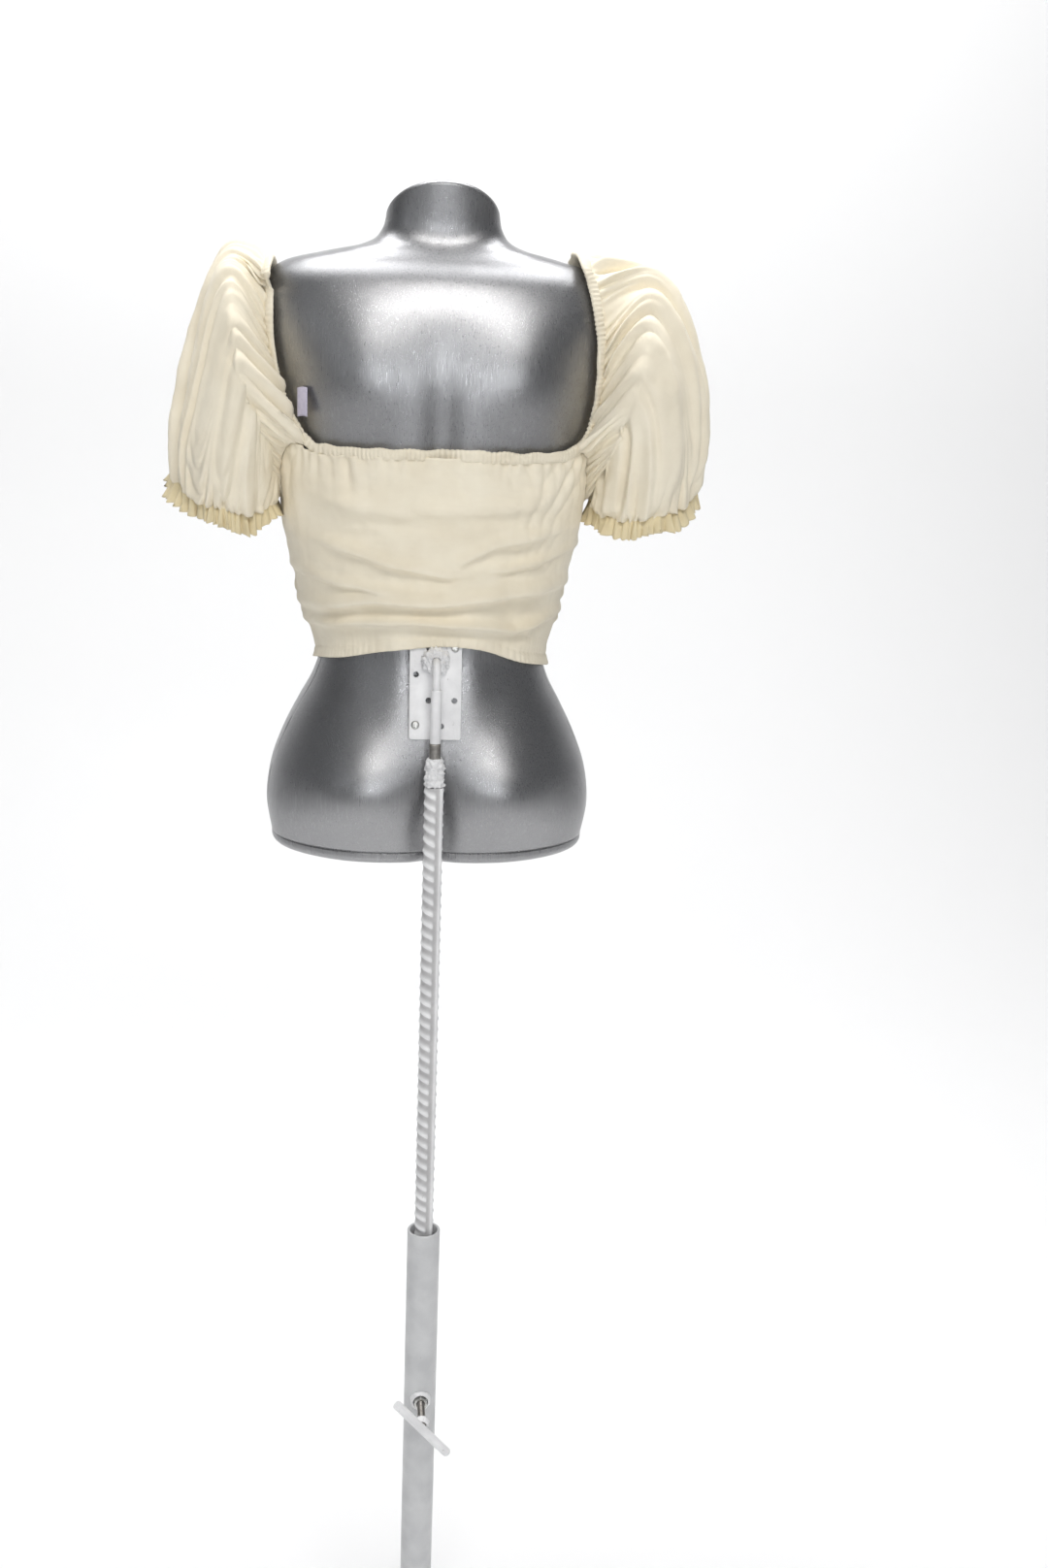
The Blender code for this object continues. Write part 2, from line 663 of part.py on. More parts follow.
def make_base():
    make_beams()
    length = TUBE_TOP - BEAM_HEIGHT - GAP
    inner = TUBE_RADIUS - TUBE_WALL
    profile = ((inner, length), (TUBE_RADIUS, length), (TUBE_RADIUS, 0), (inner, 0))
    tube = turned("base_tube", profile, WHITE, (0, 0, BEAM_HEIGHT + GAP), closed=True, steps=32)
    clamp_hole = rod_mesh("clamp_hole", CLAMP_RADIUS + GAP, 2 * TUBE_RADIUS, 16)
    cut(tube, cutter("clamp_hole", clamp_hole, (0, TUBE_RADIUS, clamp_height()), along_y()))
    bore = TUBE_RADIUS + GAP
    bead = ((bore, TUBE_WELD), (bore + 0.6 * TUBE_WELD, 0.5 * TUBE_WELD), (bore + TUBE_WELD, GAP), (bore, GAP))
    turned("tube_weld", bead, WHITE, (0, 0, BEAM_HEIGHT), closed=True, steps=32)


def beam(name, length, location, rotation):
    """A rectangular tube along its own X axis."""
    piece = place(name, box_mesh(name, (length, BEAM_WIDTH, BEAM_HEIGHT)), WHITE, location, rotation)
    hollow = box_mesh(name + "_hollow", (2 * length, BEAM_WIDTH - 2 * BEAM_WALL, BEAM_HEIGHT - 2 * BEAM_WALL))
    cut(piece, cutter(name + "_hollow", hollow, location, rotation))


def plug(name, end, angle):
    """A plastic plug: a flange over the end of a tube and a spigot inside it."""
    slack = BEAM_WALL + PLUG_SLACK
    bm = bmesh.new()
    bmesh.ops.create_cube(bm, size=1.0)
    bmesh.ops.scale(bm, vec=(PLUG_FLANGE, BEAM_WIDTH, BEAM_HEIGHT), verts=bm.verts)
    inner_face = min(bm.faces, key=lambda f: f.calc_center_median().x)
    bmesh.ops.inset_individual(bm, faces=[inner_face], thickness=slack, use_even_offset=True)
    spigot = bmesh.ops.extrude_discrete_faces(bm, faces=[inner_face])["faces"][0]
    bmesh.ops.translate(bm, vec=(-PLUG_DEPTH, 0, 0), verts=spigot.verts)
    reach = end + GAP + PLUG_FLANGE / 2
    spot = (reach * math.cos(angle), reach * math.sin(angle), BEAM_HEIGHT / 2)
    place(name, to_mesh(name, bm), PLASTIC, spot, (0, 0, angle))


def make_beams():
    """One long beam from front to back, an arm on each side, and a plug in each open end."""
    end = BASE_SPAN / 2 - PLUG_FLANGE - GAP
    level = BEAM_HEIGHT / 2
    beam("base_beam", 2 * end, (0, 0, level), (0, 0, math.pi / 2))
    inner = BEAM_WIDTH / 2 + GAP
    for name, side in (("base_arm_left", 1), ("base_arm_right", -1)):
        beam(name, end - inner, (side * (end + inner) / 2, 0, level), (0, 0, 0))
    for name, angle in (("end_plug_left", 0), ("end_plug_back", 90), ("end_plug_right", 180),
                        ("end_plug_front", 270)):
        plug(name, end, math.radians(angle))


def clamp_height():
    return TUBE_TOP - CLAMP_DROP


def make_clamp():
    nut_foot = TUBE_RADIUS + GAP
    corner = NUT_ACROSS / 2 / math.cos(math.pi / 6)
    nut = place("clamp_nut", rod_mesh("clamp_nut", corner, NUT_HEIGHT, 6, (0, 0, NUT_HEIGHT / 2)), ZINC,
                (0, nut_foot, clamp_height()), along_y())
    bore = rod_mesh("nut_bore", CLAMP_RADIUS + GAP, 4 * NUT_HEIGHT, 16)
    cut(nut, cutter("nut_bore", bore, (0, nut_foot, clamp_height()), along_y()))
    make_nut_weld(corner, nut_foot)
    tip = BAR_RADIUS + RIB_HEIGHT + GAP
    end = HANDLE_REACH - HANDLE_RADIUS - GAP
    shank = ((0, end - tip), (CLAMP_RADIUS, end - tip), (CLAMP_RADIUS, 0.001), (CLAMP_RADIUS - 0.001, 0), (0, 0))
    turned("clamp_screw", shank, STEEL, (0, tip, clamp_height()), along_y(), steps=16)
    make_handle(end)


def make_nut_weld(corner, foot):
    """A bead round the nut, shaped to the tube."""
    inner = corner + GAP
    sink = -0.35 * TUBE_RADIUS
    bead = ((inner, 0.5 * NUT_HEIGHT), (inner + 0.6 * NUT_WELD, 0.35 * NUT_HEIGHT), (inner + NUT_WELD, sink),
            (inner, sink))
    weld = turned("nut_weld", bead, WHITE, (0, foot, clamp_height()), along_y(), closed=True)
    body = rod_mesh("tube_body", TUBE_RADIUS + GAP, 4 * NUT_ACROSS, 32)
    cut(weld, cutter("tube_body", body, (0, 0, clamp_height())))


def make_handle(screw_end):
    axis = bpy.data.objects.new("clamp_axis", None)
    axis.location = (0, HANDLE_REACH, clamp_height())
    PARTS.objects.link(axis)
    data = rod_mesh("clamp_handle", HANDLE_RADIUS, HANDLE_LENGTH)
    smooth(data)
    handle = place("clamp_handle", data, WHITE, rotation=(0, math.pi / 2 - HANDLE_TILT, 0), parent=axis)
    rounded = handle.modifiers.new("rounded ends", "BEVEL")
    rounded.width = 0.001
    rounded.segments = 1
    bore = CLAMP_RADIUS + GAP
    lump = ((bore, -GAP), (0.7 * HANDLE_WELD_RADIUS, -GAP), (HANDLE_WELD_RADIUS, -0.4 * HANDLE_WELD_HEIGHT),
            (0.75 * HANDLE_WELD_RADIUS, -HANDLE_WELD_HEIGHT), (bore, -HANDLE_WELD_HEIGHT))
    turned("handle_weld", lump, WHITE, (0, screw_end - HANDLE_REACH, 0), along_y(), axis, closed=True)


# ---------------------------------------------------------------- crop top

def make_bodice():
    """The band of cloth round the torso, from the hem to the neckline and the underarms."""
    rows = 10
    rings = []
    for row in range(rows + 1):
        ring = []
        for i in range(TORSO_SEGMENTS):
            turn = 2 * math.pi * i / TORSO_SEGMENTS
            share = abs(math.cos(turn))
            hem = HEM_SIDE + (HEM_BACK - HEM_SIDE) * share
            rise = min(1.0, max(0.0, (share - 0.12) / 0.38))
            top = UNDERARM_HEIGHT + (NECKLINE_HEIGHT - UNDERARM_HEIGHT) * rise * rise * (3 - 2 * rise)
            height = hem + (top - hem) * row / rows
            ease = CLOTH_EASE + CLOTH_FULLNESS * math.sin(math.pi * row / rows)
            ring.append(cloth_point(height, turn, ease + plate_lift(height, turn)))
        rings.append(ring)
    data = loft("bodice", rings, closed_ends=False)
    smooth(data, 60)
    thicken(place("bodice", data, CLOTH_CREAM), CLOTH, 1)


def torso_place(across, back, up):
    """A place given in shares of half the width, of the depth and of the height."""
    return Vector((across * HIP_WIDTH / 2, back * TORSO_DEPTH, TORSO_BOTTOM + up * TORSO_HEIGHT))


def plate_lift(height, turn):
    """Extra ease where the cloth hangs over the upper end of the plate."""
    if math.cos(turn) <= 0:
        return 0.0
    x = torso_point(station_at(height), turn).x
    above = (height * TORSO_HEIGHT - PLATE_FOOT - PLATE_HEIGHT) / (0.5 * PLATE_HEIGHT)
    return PLATE_LIFT * math.exp(-(x / PLATE_WIDTH) ** 4 - above * above)


def thicken(piece, thickness, offset):
    wall = piece.modifiers.new("cloth", "SOLIDIFY")
    wall.thickness = thickness
    wall.offset = offset


def make_casing():
    """The elastic edge: straight across the back and the front, and over each shoulder."""
    ease = CASING_RADIUS + CASING_LIFT
    side = [back_point(x, share, ease) for x, share in CASING_BACK]
    side += [torso_place(*spot) for spot in SHOULDER_TOP]
    side += [back_point(x, share, ease, -1) for x, share in CASING_FRONT]
    mirrored = [Vector((-p.x, p.y, p.z)) for p in reversed(side[1:-1])]
    rod_along("neckline_casing", side + mirrored, CASING_RADIUS, CLOTH_CREAM, cyclic=True)


def make_sleeve(name, side):
    """A puffed sleeve, open at the root and at the cuff."""
    keys = [(*c, *h, d) for c, h, d in SLEEVE_SECTIONS]
    rings = []
    for k in range(2 * (len(keys) - 1) + 1):
        cx, cy, cz, hx, hz, deep = catmull(keys, k / 2)
        ring = []
        for i in range(SLEEVE_SEGMENTS):
            turn = 2 * math.pi * i / SLEEVE_SEGMENTS
            out, up = math.cos(turn), math.sin(turn)
            ring.append(torso_place(side * (cx + hx * out), cy + deep * up, cz + hz * out))
        rings.append(ring)
    data = loft(name, rings, closed_ends=False)
    smooth(data, 60)
    thicken(place(name, data, CLOTH_CREAM), CLOTH, -1)


def make_tag():
    """A small blank tape tag inside the neckline, on the wearer's left."""
    inner, outer = (back_point(x, TAG_HEIGHT, TAG_EASE) for x in
                    (TAG_REACH - 2 * TAG_SIZE[0] / HIP_WIDTH, TAG_REACH))
    along = outer - inner
    place("garment_tag", box_mesh("garment_tag", TAG_SIZE), TAG_TAPE, (inner + outer) / 2,
          (0, 0, math.atan2(along.y, along.x)))


def build():
    frame = plate_frame()
    make_torso(frame)
    make_plate(frame)
    make_screws(frame)
    make_pin(frame)
    make_column()
    make_base()
    make_clamp()
    make_bodice()
    make_casing()
    make_sleeve("sleeve_left", 1)
    make_sleeve("sleeve_right", -1)
    make_tag()


build()
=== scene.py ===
"""Looks of a dress form on its stand, in a gathered crop top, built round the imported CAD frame.

Metres, +Z up.  The back faces +Y and the stand's axis is the Z axis.
"""

import math

import bmesh
import bpy
import numpy as np
from mathutils import Matrix, Vector, noise
from mathutils.bvhtree import BVHTree


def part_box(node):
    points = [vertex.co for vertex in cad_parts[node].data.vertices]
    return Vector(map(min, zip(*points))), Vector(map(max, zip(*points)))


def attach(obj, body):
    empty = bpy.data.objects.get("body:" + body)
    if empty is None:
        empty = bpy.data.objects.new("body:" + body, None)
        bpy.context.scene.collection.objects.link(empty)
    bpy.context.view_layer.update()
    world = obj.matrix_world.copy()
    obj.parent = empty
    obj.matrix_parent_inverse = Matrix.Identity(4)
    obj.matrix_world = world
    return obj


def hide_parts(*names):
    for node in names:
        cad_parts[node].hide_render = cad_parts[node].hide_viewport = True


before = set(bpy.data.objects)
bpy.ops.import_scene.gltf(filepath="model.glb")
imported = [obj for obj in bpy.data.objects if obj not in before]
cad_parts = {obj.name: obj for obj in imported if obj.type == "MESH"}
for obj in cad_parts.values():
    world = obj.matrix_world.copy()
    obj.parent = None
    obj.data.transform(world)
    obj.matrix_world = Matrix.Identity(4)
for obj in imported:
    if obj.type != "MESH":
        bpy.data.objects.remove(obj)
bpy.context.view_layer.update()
GAP = 0.0003
TAU = 2 * math.pi


# ---------------------------------------------------------------- camera

def make_camera():
    """Stands behind the form and a little above its shoulders, looking down at the small of the back."""
    around, heading = math.radians(176.9), math.radians(173.59)
    pitch, roll = math.radians(14.3), math.radians(2.18)
    distance, height = 1.490, 1.454
    forward = Vector((-math.sin(heading) * math.cos(pitch), math.cos(heading) * math.cos(pitch),
                      -math.sin(pitch)))
    level = Vector((math.cos(heading), math.sin(heading), 0))
    above = level.cross(forward)
    right = math.cos(roll) * level + math.sin(roll) * above
    up = math.cos(roll) * above - math.sin(roll) * level
    data = bpy.data.cameras.new("camera")
    data.lens = 36.76
    camera = bpy.data.objects.new("camera", data)
    place = Matrix((right, up, -forward)).transposed().to_4x4()
    place.translation = (distance * math.sin(around), -distance * math.cos(around), height)
    camera.matrix_world = place
    bpy.context.scene.collection.objects.link(camera)
    bpy.context.scene.camera = camera


make_camera()


# ---------------------------------------------------------------- material tools

def node(tree, kind, settings=None, inputs=None):
    """Adds a node.  An input is a plain value, or the output of another node."""
    made = tree.nodes.new("ShaderNode" + kind)
    for key, value in (settings or {}).items():
        setattr(made, key, value)
    for key, value in (inputs or {}).items():
        if isinstance(value, bpy.types.NodeSocket):
            tree.links.new(value, made.inputs[key])
        else:
            made.inputs[key].default_value = value
    return made


def maths(tree, operation, a, b=0.0, c=0.0):
    return node(tree, "Math", {"operation": operation}, {0: a, 1: b, 2: c}).outputs[0]


def stretch(tree, vector, scale):
    """Coordinates multiplied by a scale for each axis."""
    return node(tree, "VectorMath", {"operation": "MULTIPLY"}, {0: vector, 1: scale}).outputs[0]


def grains(tree, vector, scale=1.0, detail=4.0, rough=0.55):
    return node(tree, "TexNoise", None, {"Vector": vector, "Scale": scale, "Detail": detail,
                                         "Roughness": rough}).outputs["Fac"]


def ranged(tree, value, low, high, to_low=0.0, to_high=1.0):
    """A value moved from one range to another, and kept inside it."""
    made = node(tree, "MapRange", None, {"Value": value, "From Min": low, "From Max": high,
                                         "To Min": to_low, "To Max": to_high})
    return made.outputs["Result"]


def mixed(tree, factor, a, b):
    made = node(tree, "Mix", {"data_type": "RGBA"}, {0: factor})
    for socket, colour in ((made.inputs[6], a), (made.inputs[7], b)):
        if isinstance(colour, bpy.types.NodeSocket):
            tree.links.new(colour, socket)
        else:
            socket.default_value = (*colour, 1.0)
    return made.outputs[2]


def group(name, inputs, outputs):
    """An empty node group, with its inner input and output nodes."""
    tree = bpy.data.node_groups.new(name, "ShaderNodeTree")
    for label, kind, value in inputs:
        socket = tree.interface.new_socket(label, in_out="INPUT", socket_type="NodeSocket" + kind)
        if value is not None:
            socket.default_value = value
    for label, kind in outputs:
        tree.interface.new_socket(label, in_out="OUTPUT", socket_type="NodeSocket" + kind)
    return tree, tree.nodes.new("NodeGroupInput").outputs, tree.nodes.new("NodeGroupOutput").inputs


def use(tree, inner, inputs):
    made = node(tree, "Group", {"node_tree": inner})
    for key, value in inputs.items():
        if isinstance(value, bpy.types.NodeSocket):
            tree.links.new(value, made.inputs[key])
        else:
            made.inputs[key].default_value = value
    return made.outputs


def make_brush_streaks():
    """Fine streaks along Z, as a stiff brush or a spray over coarse primer leaves them."""
    tree, given, out = group("brush_streaks", [("Vector", "Vector", None), ("Across", "Float", 420.0),
                                               ("Along", "Float", 22.0)],
                             [("Streak", "Float"), ("Fine", "Float")])
    parts = node(tree, "SeparateXYZ", None, {0: given["Vector"]}).outputs
    wide = node(tree, "CombineXYZ", None, {0: maths(tree, "MULTIPLY", parts[0], given["Across"]),
                                           1: maths(tree, "MULTIPLY", parts[1], given["Across"]),
                                           2: maths(tree, "MULTIPLY", parts[2], given["Along"])}).outputs[0]
    coarse = grains(tree, wide, 1.0, 3.0, 0.6)
    tree.links.new(ranged(tree, coarse, 0.56, 0.74), out["Streak"])
    tree.links.new(grains(tree, wide, 2.7, 2.0, 0.5), out["Fine"])
    return tree


def make_marks():
    """Sparse specks and scuffs, 1 where a mark is."""
    tree, given, out = group("marks", [("Vector", "Vector", None), ("Scale", "Float", 60.0),
                                       ("Amount", "Float", 0.3)], [("Mark", "Float")])
    speck = grains(tree, given["Vector"], given["Scale"], 2.0, 0.6)
    edge = maths(tree, "SUBTRACT", 0.80, maths(tree, "MULTIPLY", given["Amount"], 0.25))
    over = maths(tree, "MULTIPLY", maths(tree, "SUBTRACT", speck, edge), 25.0)
    tree.links.new(node(tree, "Clamp", None, {0: over}).outputs[0], out["Mark"])
    return tree


def make_weave():
    """Threads that cross, in coordinates that follow the cloth, with slubs."""
    tree, given, out = group("weave", [("Vector", "Vector", None), ("Threads", "Float", 900.0)],
                             [("Height", "Float"), ("Slub", "Float")])
    scaled = node(tree, "VectorMath", {"operation": "SCALE"},
                  {0: given["Vector"], "Scale": given["Threads"]}).outputs[0]
    parts = node(tree, "SeparateXYZ", None, {0: scaled}).outputs
    warp = maths(tree, "SINE", parts[0])
    weft = maths(tree, "SINE", parts[1])
    both = maths(tree, "MULTIPLY", warp, weft)
    slub = grains(tree, stretch(tree, given["Vector"], (60.0, 300.0, 60.0)), 1.0, 3.0, 0.6)
    tree.links.new(maths(tree, "ADD", maths(tree, "MULTIPLY", both, 0.3), slub), out["Height"])
    tree.links.new(slub, out["Slub"])
    return tree


STREAKS, MARKS, WEAVE = make_brush_streaks(), make_marks(), make_weave()


def material(name, **values):
    """A material, its tree and its Principled shader, with plain values set on the shader."""
    mat = bpy.data.materials.new(name)
    mat.use_nodes = True
    tree = mat.node_tree
    shader = tree.nodes["Principled BSDF"]
    for key, value in values.items():
        shader.inputs[key.replace("_", " ")].default_value = value
    return mat, tree, shader


def join(tree, output, shader, name):
    tree.links.new(output, shader.inputs[name])


def bumped(tree, shader, height, distance, strength=1.0):
    bump = node(tree, "Bump", None, {"Height": height, "Distance": distance, "Strength": strength})
    join(tree, bump.outputs[0], shader, "Normal")


def object_coordinates(tree):
    return node(tree, "TexCoord").outputs["Object"]


def silver_paint():
    """Aluminium paint over a brushed-out filler: long fine lines that catch the light."""
    mat, tree, shader = material("silver_paint", Metallic=0.88)
    here = object_coordinates(tree)
    streak = use(tree, STREAKS, {"Vector": here, "Across": 620.0, "Along": 11.0})
    finer = use(tree, STREAKS, {"Vector": here, "Across": 1500.0, "Along": 30.0})
    cloud = grains(tree, here, 9.0, 4.0)
    flake = grains(tree, here, 1400.0, 2.0)
    base = mixed(tree, ranged(tree, cloud, 0.3, 0.7), (0.33, 0.331, 0.34), (0.39, 0.391, 0.40))
    base = mixed(tree, maths(tree, "MULTIPLY", streak["Streak"], 0.30), base, (0.62, 0.62, 0.63))
    base = mixed(tree, ranged(tree, finer["Fine"], 0.45, 0.7, 0.0, 0.35), base, (0.24, 0.24, 0.245))
    height = node(tree, "SeparateXYZ", None, {0: here}).outputs[2]
    scuffs = use(tree, MARKS, {"Vector": here, "Scale": 75.0, "Amount": 0.30})["Mark"]
    worn = maths(tree, "MULTIPLY", scuffs, ranged(tree, height, 1.54, 1.585))
    base = mixed(tree, maths(tree, "MULTIPLY", worn, 0.7), base, (0.09, 0.085, 0.08))
    join(tree, base, shader, "Base Color")
    rough = maths(tree, "ADD", ranged(tree, streak["Fine"], 0.3, 0.7, 0.25, 0.38),
                  maths(tree, "MULTIPLY", worn, 0.3))
    join(tree, rough, shader, "Roughness")
    relief = maths(tree, "ADD", streak["Fine"], maths(tree, "MULTIPLY", finer["Fine"], 0.5))
    relief = maths(tree, "ADD", relief, maths(tree, "MULTIPLY", flake, 0.15))
    bumped(tree, shader, relief, 0.00026, 0.6)
    return mat


def painted_steel(name, colour, shade, rough, relief, painted_shade_valley=None):
    """Thick brushed-on paint over steel: faint runs, greyer in patches, and painted shade darkening a ribbed
    bar's valleys.
    """
    mat, tree, shader = material(name, Coat_Weight=0.12, Coat_Roughness=0.25)
    here = object_coordinates(tree)
    patch = grains(tree, here, 38.0, 5.0)
    runs = use(tree, STREAKS, {"Vector": here, "Across": 160.0, "Along": 30.0})
    grime = use(tree, MARKS, {"Vector": here, "Scale": 150.0, "Amount": 0.35})["Mark"]
    base = mixed(tree, ranged(tree, patch, 0.35, 0.68), colour, shade)
    base = mixed(tree, maths(tree, "MULTIPLY", grime, 0.35), base, (0.30, 0.28, 0.26))
    # painted shade: near the bar's core, between the ribs, the colour is darkened towards the core to stand
    # in for shade in the grooves
    if painted_shade_valley:
        radius = node(tree, "VectorMath", {"operation": "LENGTH"},
                      {0: stretch(tree, here, (1, 1, 0))}).outputs["Value"]
        base = mixed(tree, ranged(tree, radius, *painted_shade_valley, 0.60, 0.0), base, (0.22, 0.21, 0.21))
    join(tree, base, shader, "Base Color")
    join(tree, ranged(tree, patch, 0.3, 0.7, rough - 0.07, rough + 0.1), shader, "Roughness")
    bumped(tree, shader, maths(tree, "ADD", runs["Fine"], grains(tree, here, 420.0, 3.0)), relief, 0.6)
    return mat


def bare_metal(name, colour, shade, rough):
    mat, tree, shader = material(name, Metallic=1.0)
    here = object_coordinates(tree)
    patch = grains(tree, here, 160.0, 5.0)
    base = mixed(tree, ranged(tree, patch, 0.35, 0.7), colour, shade)
    join(tree, base, shader, "Base Color")
    join(tree, ranged(tree, patch, 0.3, 0.7, rough - 0.08, rough + 0.12), shader, "Roughness")
    bumped(tree, shader, grains(tree, here, 700.0, 3.0), 0.0001, 0.5)
    return mat


def cotton(name, colour, shade, threads=(1.0, 1.0, 1.0)):
    """Soft cream cotton.  threads is the cloth's size in metres along its own coordinates."""
    mat, tree, shader = material(name, Roughness=0.88, Sheen_Weight=0.18, Sheen_Roughness=0.45,
                                 Specular_IOR_Level=0.22)
    along = stretch(tree, node(tree, "TexCoord").outputs["UV"], threads)
    woven = use(tree, WEAVE, {"Vector": along, "Threads": 5200.0})
    here = object_coordinates(tree)
    cloud = grains(tree, here, 24.0, 4.0)
    base = mixed(tree, ranged(tree, cloud, 0.3, 0.7), colour, shade)
    base = mixed(tree, ranged(tree, woven["Slub"], 0.55, 0.8, 0.0, 0.10), base,
                 tuple(0.86 * c for c in shade))
    join(tree, base, shader, "Base Color")
    bumped(tree, shader, maths(tree, "ADD", woven["Height"], grains(tree, here, 520.0, 3.0)), 0.00022, 0.6)
    return mat


def tape():
    mat, tree, shader = material("tag_tape", Roughness=0.6, Sheen_Weight=0.1)
    here = object_coordinates(tree)
    height = node(tree, "SeparateXYZ", None, {0: here}).outputs[2]
    threads = maths(tree, "SINE", maths(tree, "MULTIPLY", height, 7000.0))
    faded = ranged(tree, grains(tree, here, 300.0), 0.3, 0.7)
    join(tree, mixed(tree, faded, (0.50, 0.47, 0.60), (0.60, 0.57, 0.68)), shader, "Base Color")
    bumped(tree, shader, threads, 0.00008, 0.5)
    return mat


def plywood():
    mat, tree, shader = material("plywood", Roughness=0.75)
    here = object_coordinates(tree)
    grain = grains(tree, stretch(tree, here, (220.0, 900.0, 14.0)), 1.0, 4.0, 0.6)
    base = mixed(tree, ranged(tree, grain, 0.35, 0.7), (0.56, 0.40, 0.22), (0.38, 0.24, 0.12))
    join(tree, base, shader, "Base Color")
    bumped(tree, shader, grain, 0.0002, 0.6)
    return mat


def moulded_plastic():
    mat, tree, shader = material("plug_plastic", Roughness=0.5)
    here = object_coordinates(tree)
    base = mixed(tree, grains(tree, here, 60.0), (0.03, 0.03, 0.032), (0.055, 0.055, 0.058))
    join(tree, base, shader, "Base Color")
    bumped(tree, shader, grains(tree, here, 1500.0, 2.0), 0.00008, 0.6)
    return mat


SILVER = silver_paint()
WHITE = painted_steel("white_paint", (0.88, 0.88, 0.885), (0.74, 0.74, 0.75), 0.42, 0.00030)
# the last pair is the radius span over which painted shade darkens the bar's valleys
BAR_PAINT = painted_steel("bar_paint", (0.90, 0.90, 0.905), (0.76, 0.76, 0.77), 0.42, 0.00030,
                          (0.0086, 0.0099))
TUBE_PAINT = painted_steel("tube_paint", (0.63, 0.635, 0.64), (0.54, 0.545, 0.555), 0.36, 0.00012)
STEEL = bare_metal("bare_steel", (0.50, 0.48, 0.45), (0.26, 0.24, 0.22), 0.34)
ZINC = bare_metal("zinc_plate", (0.68, 0.68, 0.66), (0.46, 0.46, 0.44), 0.32)
COTTON = cotton("cream_cotton", (0.90, 0.835, 0.685), (0.83, 0.755, 0.60), (0.85, 0.22, 1.0))
# painted light: the ruffle is the sleeves' own cotton, made darker and yellower to stand in for light
# shining through the thin cloth
RUFFLE_COTTON_PAINTED_BACKLIGHT = cotton("ruffle_cotton_painted_backlight", (0.78, 0.685, 0.46), (0.70, 0.60, 0.385), (0.55, 0.02, 1.0))
TAG_TAPE, PLYWOOD, PLASTIC = tape(), plywood(), moulded_plastic()


# ---------------------------------------------------------------- shape tools

def skin(points, closed=True, loop=False):
    """A bmesh over rows of points.  closed joins each row's ends, loop joins the last row to the first."""
    if closed:
        points = np.concatenate([points, points[:, :1]], 1)
    if loop:
        points = np.concatenate([points, points[:1]], 0)
    rows, count = points.shape[:2]
    bm = bmesh.new()
    bm.loops.layers.uv.new("UVMap")
    bmesh.ops.create_grid(bm, x_segments=count - 1, y_segments=rows - 1, size=0.5, calc_uvs=True)
    for vert, point in zip(bm.verts, points.reshape(-1, 3).tolist()):
        vert.co = point
    bmesh.ops.remove_doubles(bm, verts=bm.verts, dist=1e-6)
    return bm


def turned(profile, steps=48, loop=True):
    """A bmesh spun about Z from (radius, height) corners."""
    bm = bmesh.new()
    verts = [bm.verts.new((r, 0.0, z)) for r, z in profile]
    edges = [bm.edges.new(pair) for pair in zip(verts, verts[1:])]
    if loop:
        edges.append(bm.edges.new((verts[-1], verts[0])))
    bmesh.ops.spin(bm, geom=verts + edges, cent=(0, 0, 0), axis=(0, 0, 1), angle=TAU, steps=steps,
                   use_merge=True)
    bmesh.ops.remove_doubles(bm, verts=bm.verts, dist=1e-6)
    return bm


def rod(radius, turn, z):
    """A closed bmesh along Z, with its radius given at each turn and height."""
    points = np.stack([radius * np.cos(turn), radius * np.sin(turn), z * np.ones_like(turn)], -1)
    ends = [np.broadcast_to(np.array((0, 0, value)), (1, turn.shape[1], 3)) for value in (z[0, 0], z[-1, 0])]
    return skin(np.concatenate([ends[0], points, ends[1]]))


def rounded(corners, radius, steps=4, ends=True):
    """A line of corners with each turned into a small arc; ends says that it closes on itself."""
    count = len(corners)
    out = []
    for i, (x, y) in enumerate(corners):
        if not ends and i in (0, count - 1):
            out.append((x, y))
            continue
        here = Vector((x, y))
        before = Vector(corners[i - 1]) - here
        after = Vector(corners[(i + 1) % count]) - here
        reach = min(radius, 0.45 * before.length, 0.45 * after.length)
        start, end = here + before.normalized() * reach, here + after.normalized() * reach
        for k in range(steps + 1):
            f = k / steps
            out.append(tuple(start * (1 - f) ** 2 + here * 2 * f * (1 - f) + end * f * f))
    return out


def piece(name, bm, mat, body, replaces=(), crease=40, centred=False):
    """Turns a bmesh into a finished piece that rides on a body and stands for CAD nodes."""
    bmesh.ops.recalc_face_normals(bm, faces=bm.faces)
    if centred:
        middle = sum((v.co for v in bm.verts), Vector()) / len(bm.verts)
        if sum(f.normal.dot(f.calc_center_median() - middle) * f.calc_area() for f in bm.faces) < 0:
            bmesh.ops.reverse_faces(bm, faces=bm.faces)
    data = bpy.data.meshes.new(name)
    bm.to_mesh(data)
    bm.free()
    data.shade_smooth()
    data.set_sharp_from_angle(angle=math.radians(crease))
    data.materials.append(mat)
    made = placed(name, data)
    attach(made, body)
    if replaces:
        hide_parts(*replaces)
    return made


def placed(name, data):
    """An object for a mesh, a light or a camera, put into the scene."""
    made = bpy.data.objects.new(name, data)
    bpy.context.scene.collection.objects.link(made)
    return made


def moved(bm, matrix):
    bmesh.ops.transform(bm, matrix=matrix, verts=bm.verts)
    return bm


def along_y(x, y, z):
    """Lays a piece made about Z along +Y, with its foot at a point."""
    return Matrix.Translation((x, y, z)) @ Matrix.Rotation(-math.pi / 2, 4, "X")


def lumps(points, scale, seed=0.0):
    """Smooth random values, about -1 to 1, at an array of points."""
    flat = (points.reshape(-1, 3) * scale + seed * 17.3).tolist()
    return np.array([noise.noise(p) for p in flat]).reshape(points.shape[:-1])


def lumpy(bm, size, scale, seed=0.0):
    """Pushes a bmesh's points in and out along their normals, as weld metal sets."""
    bm.normal_update()
    shifts = [v.normal * size * (noise.noise(v.co * scale + Vector((seed, 0, 0)))
                                 + 0.4 * noise.noise(v.co * scale * 2.6)) for v in bm.verts]
    for vert, shift in zip(bm.verts, shifts):
        vert.co += shift
    return bm


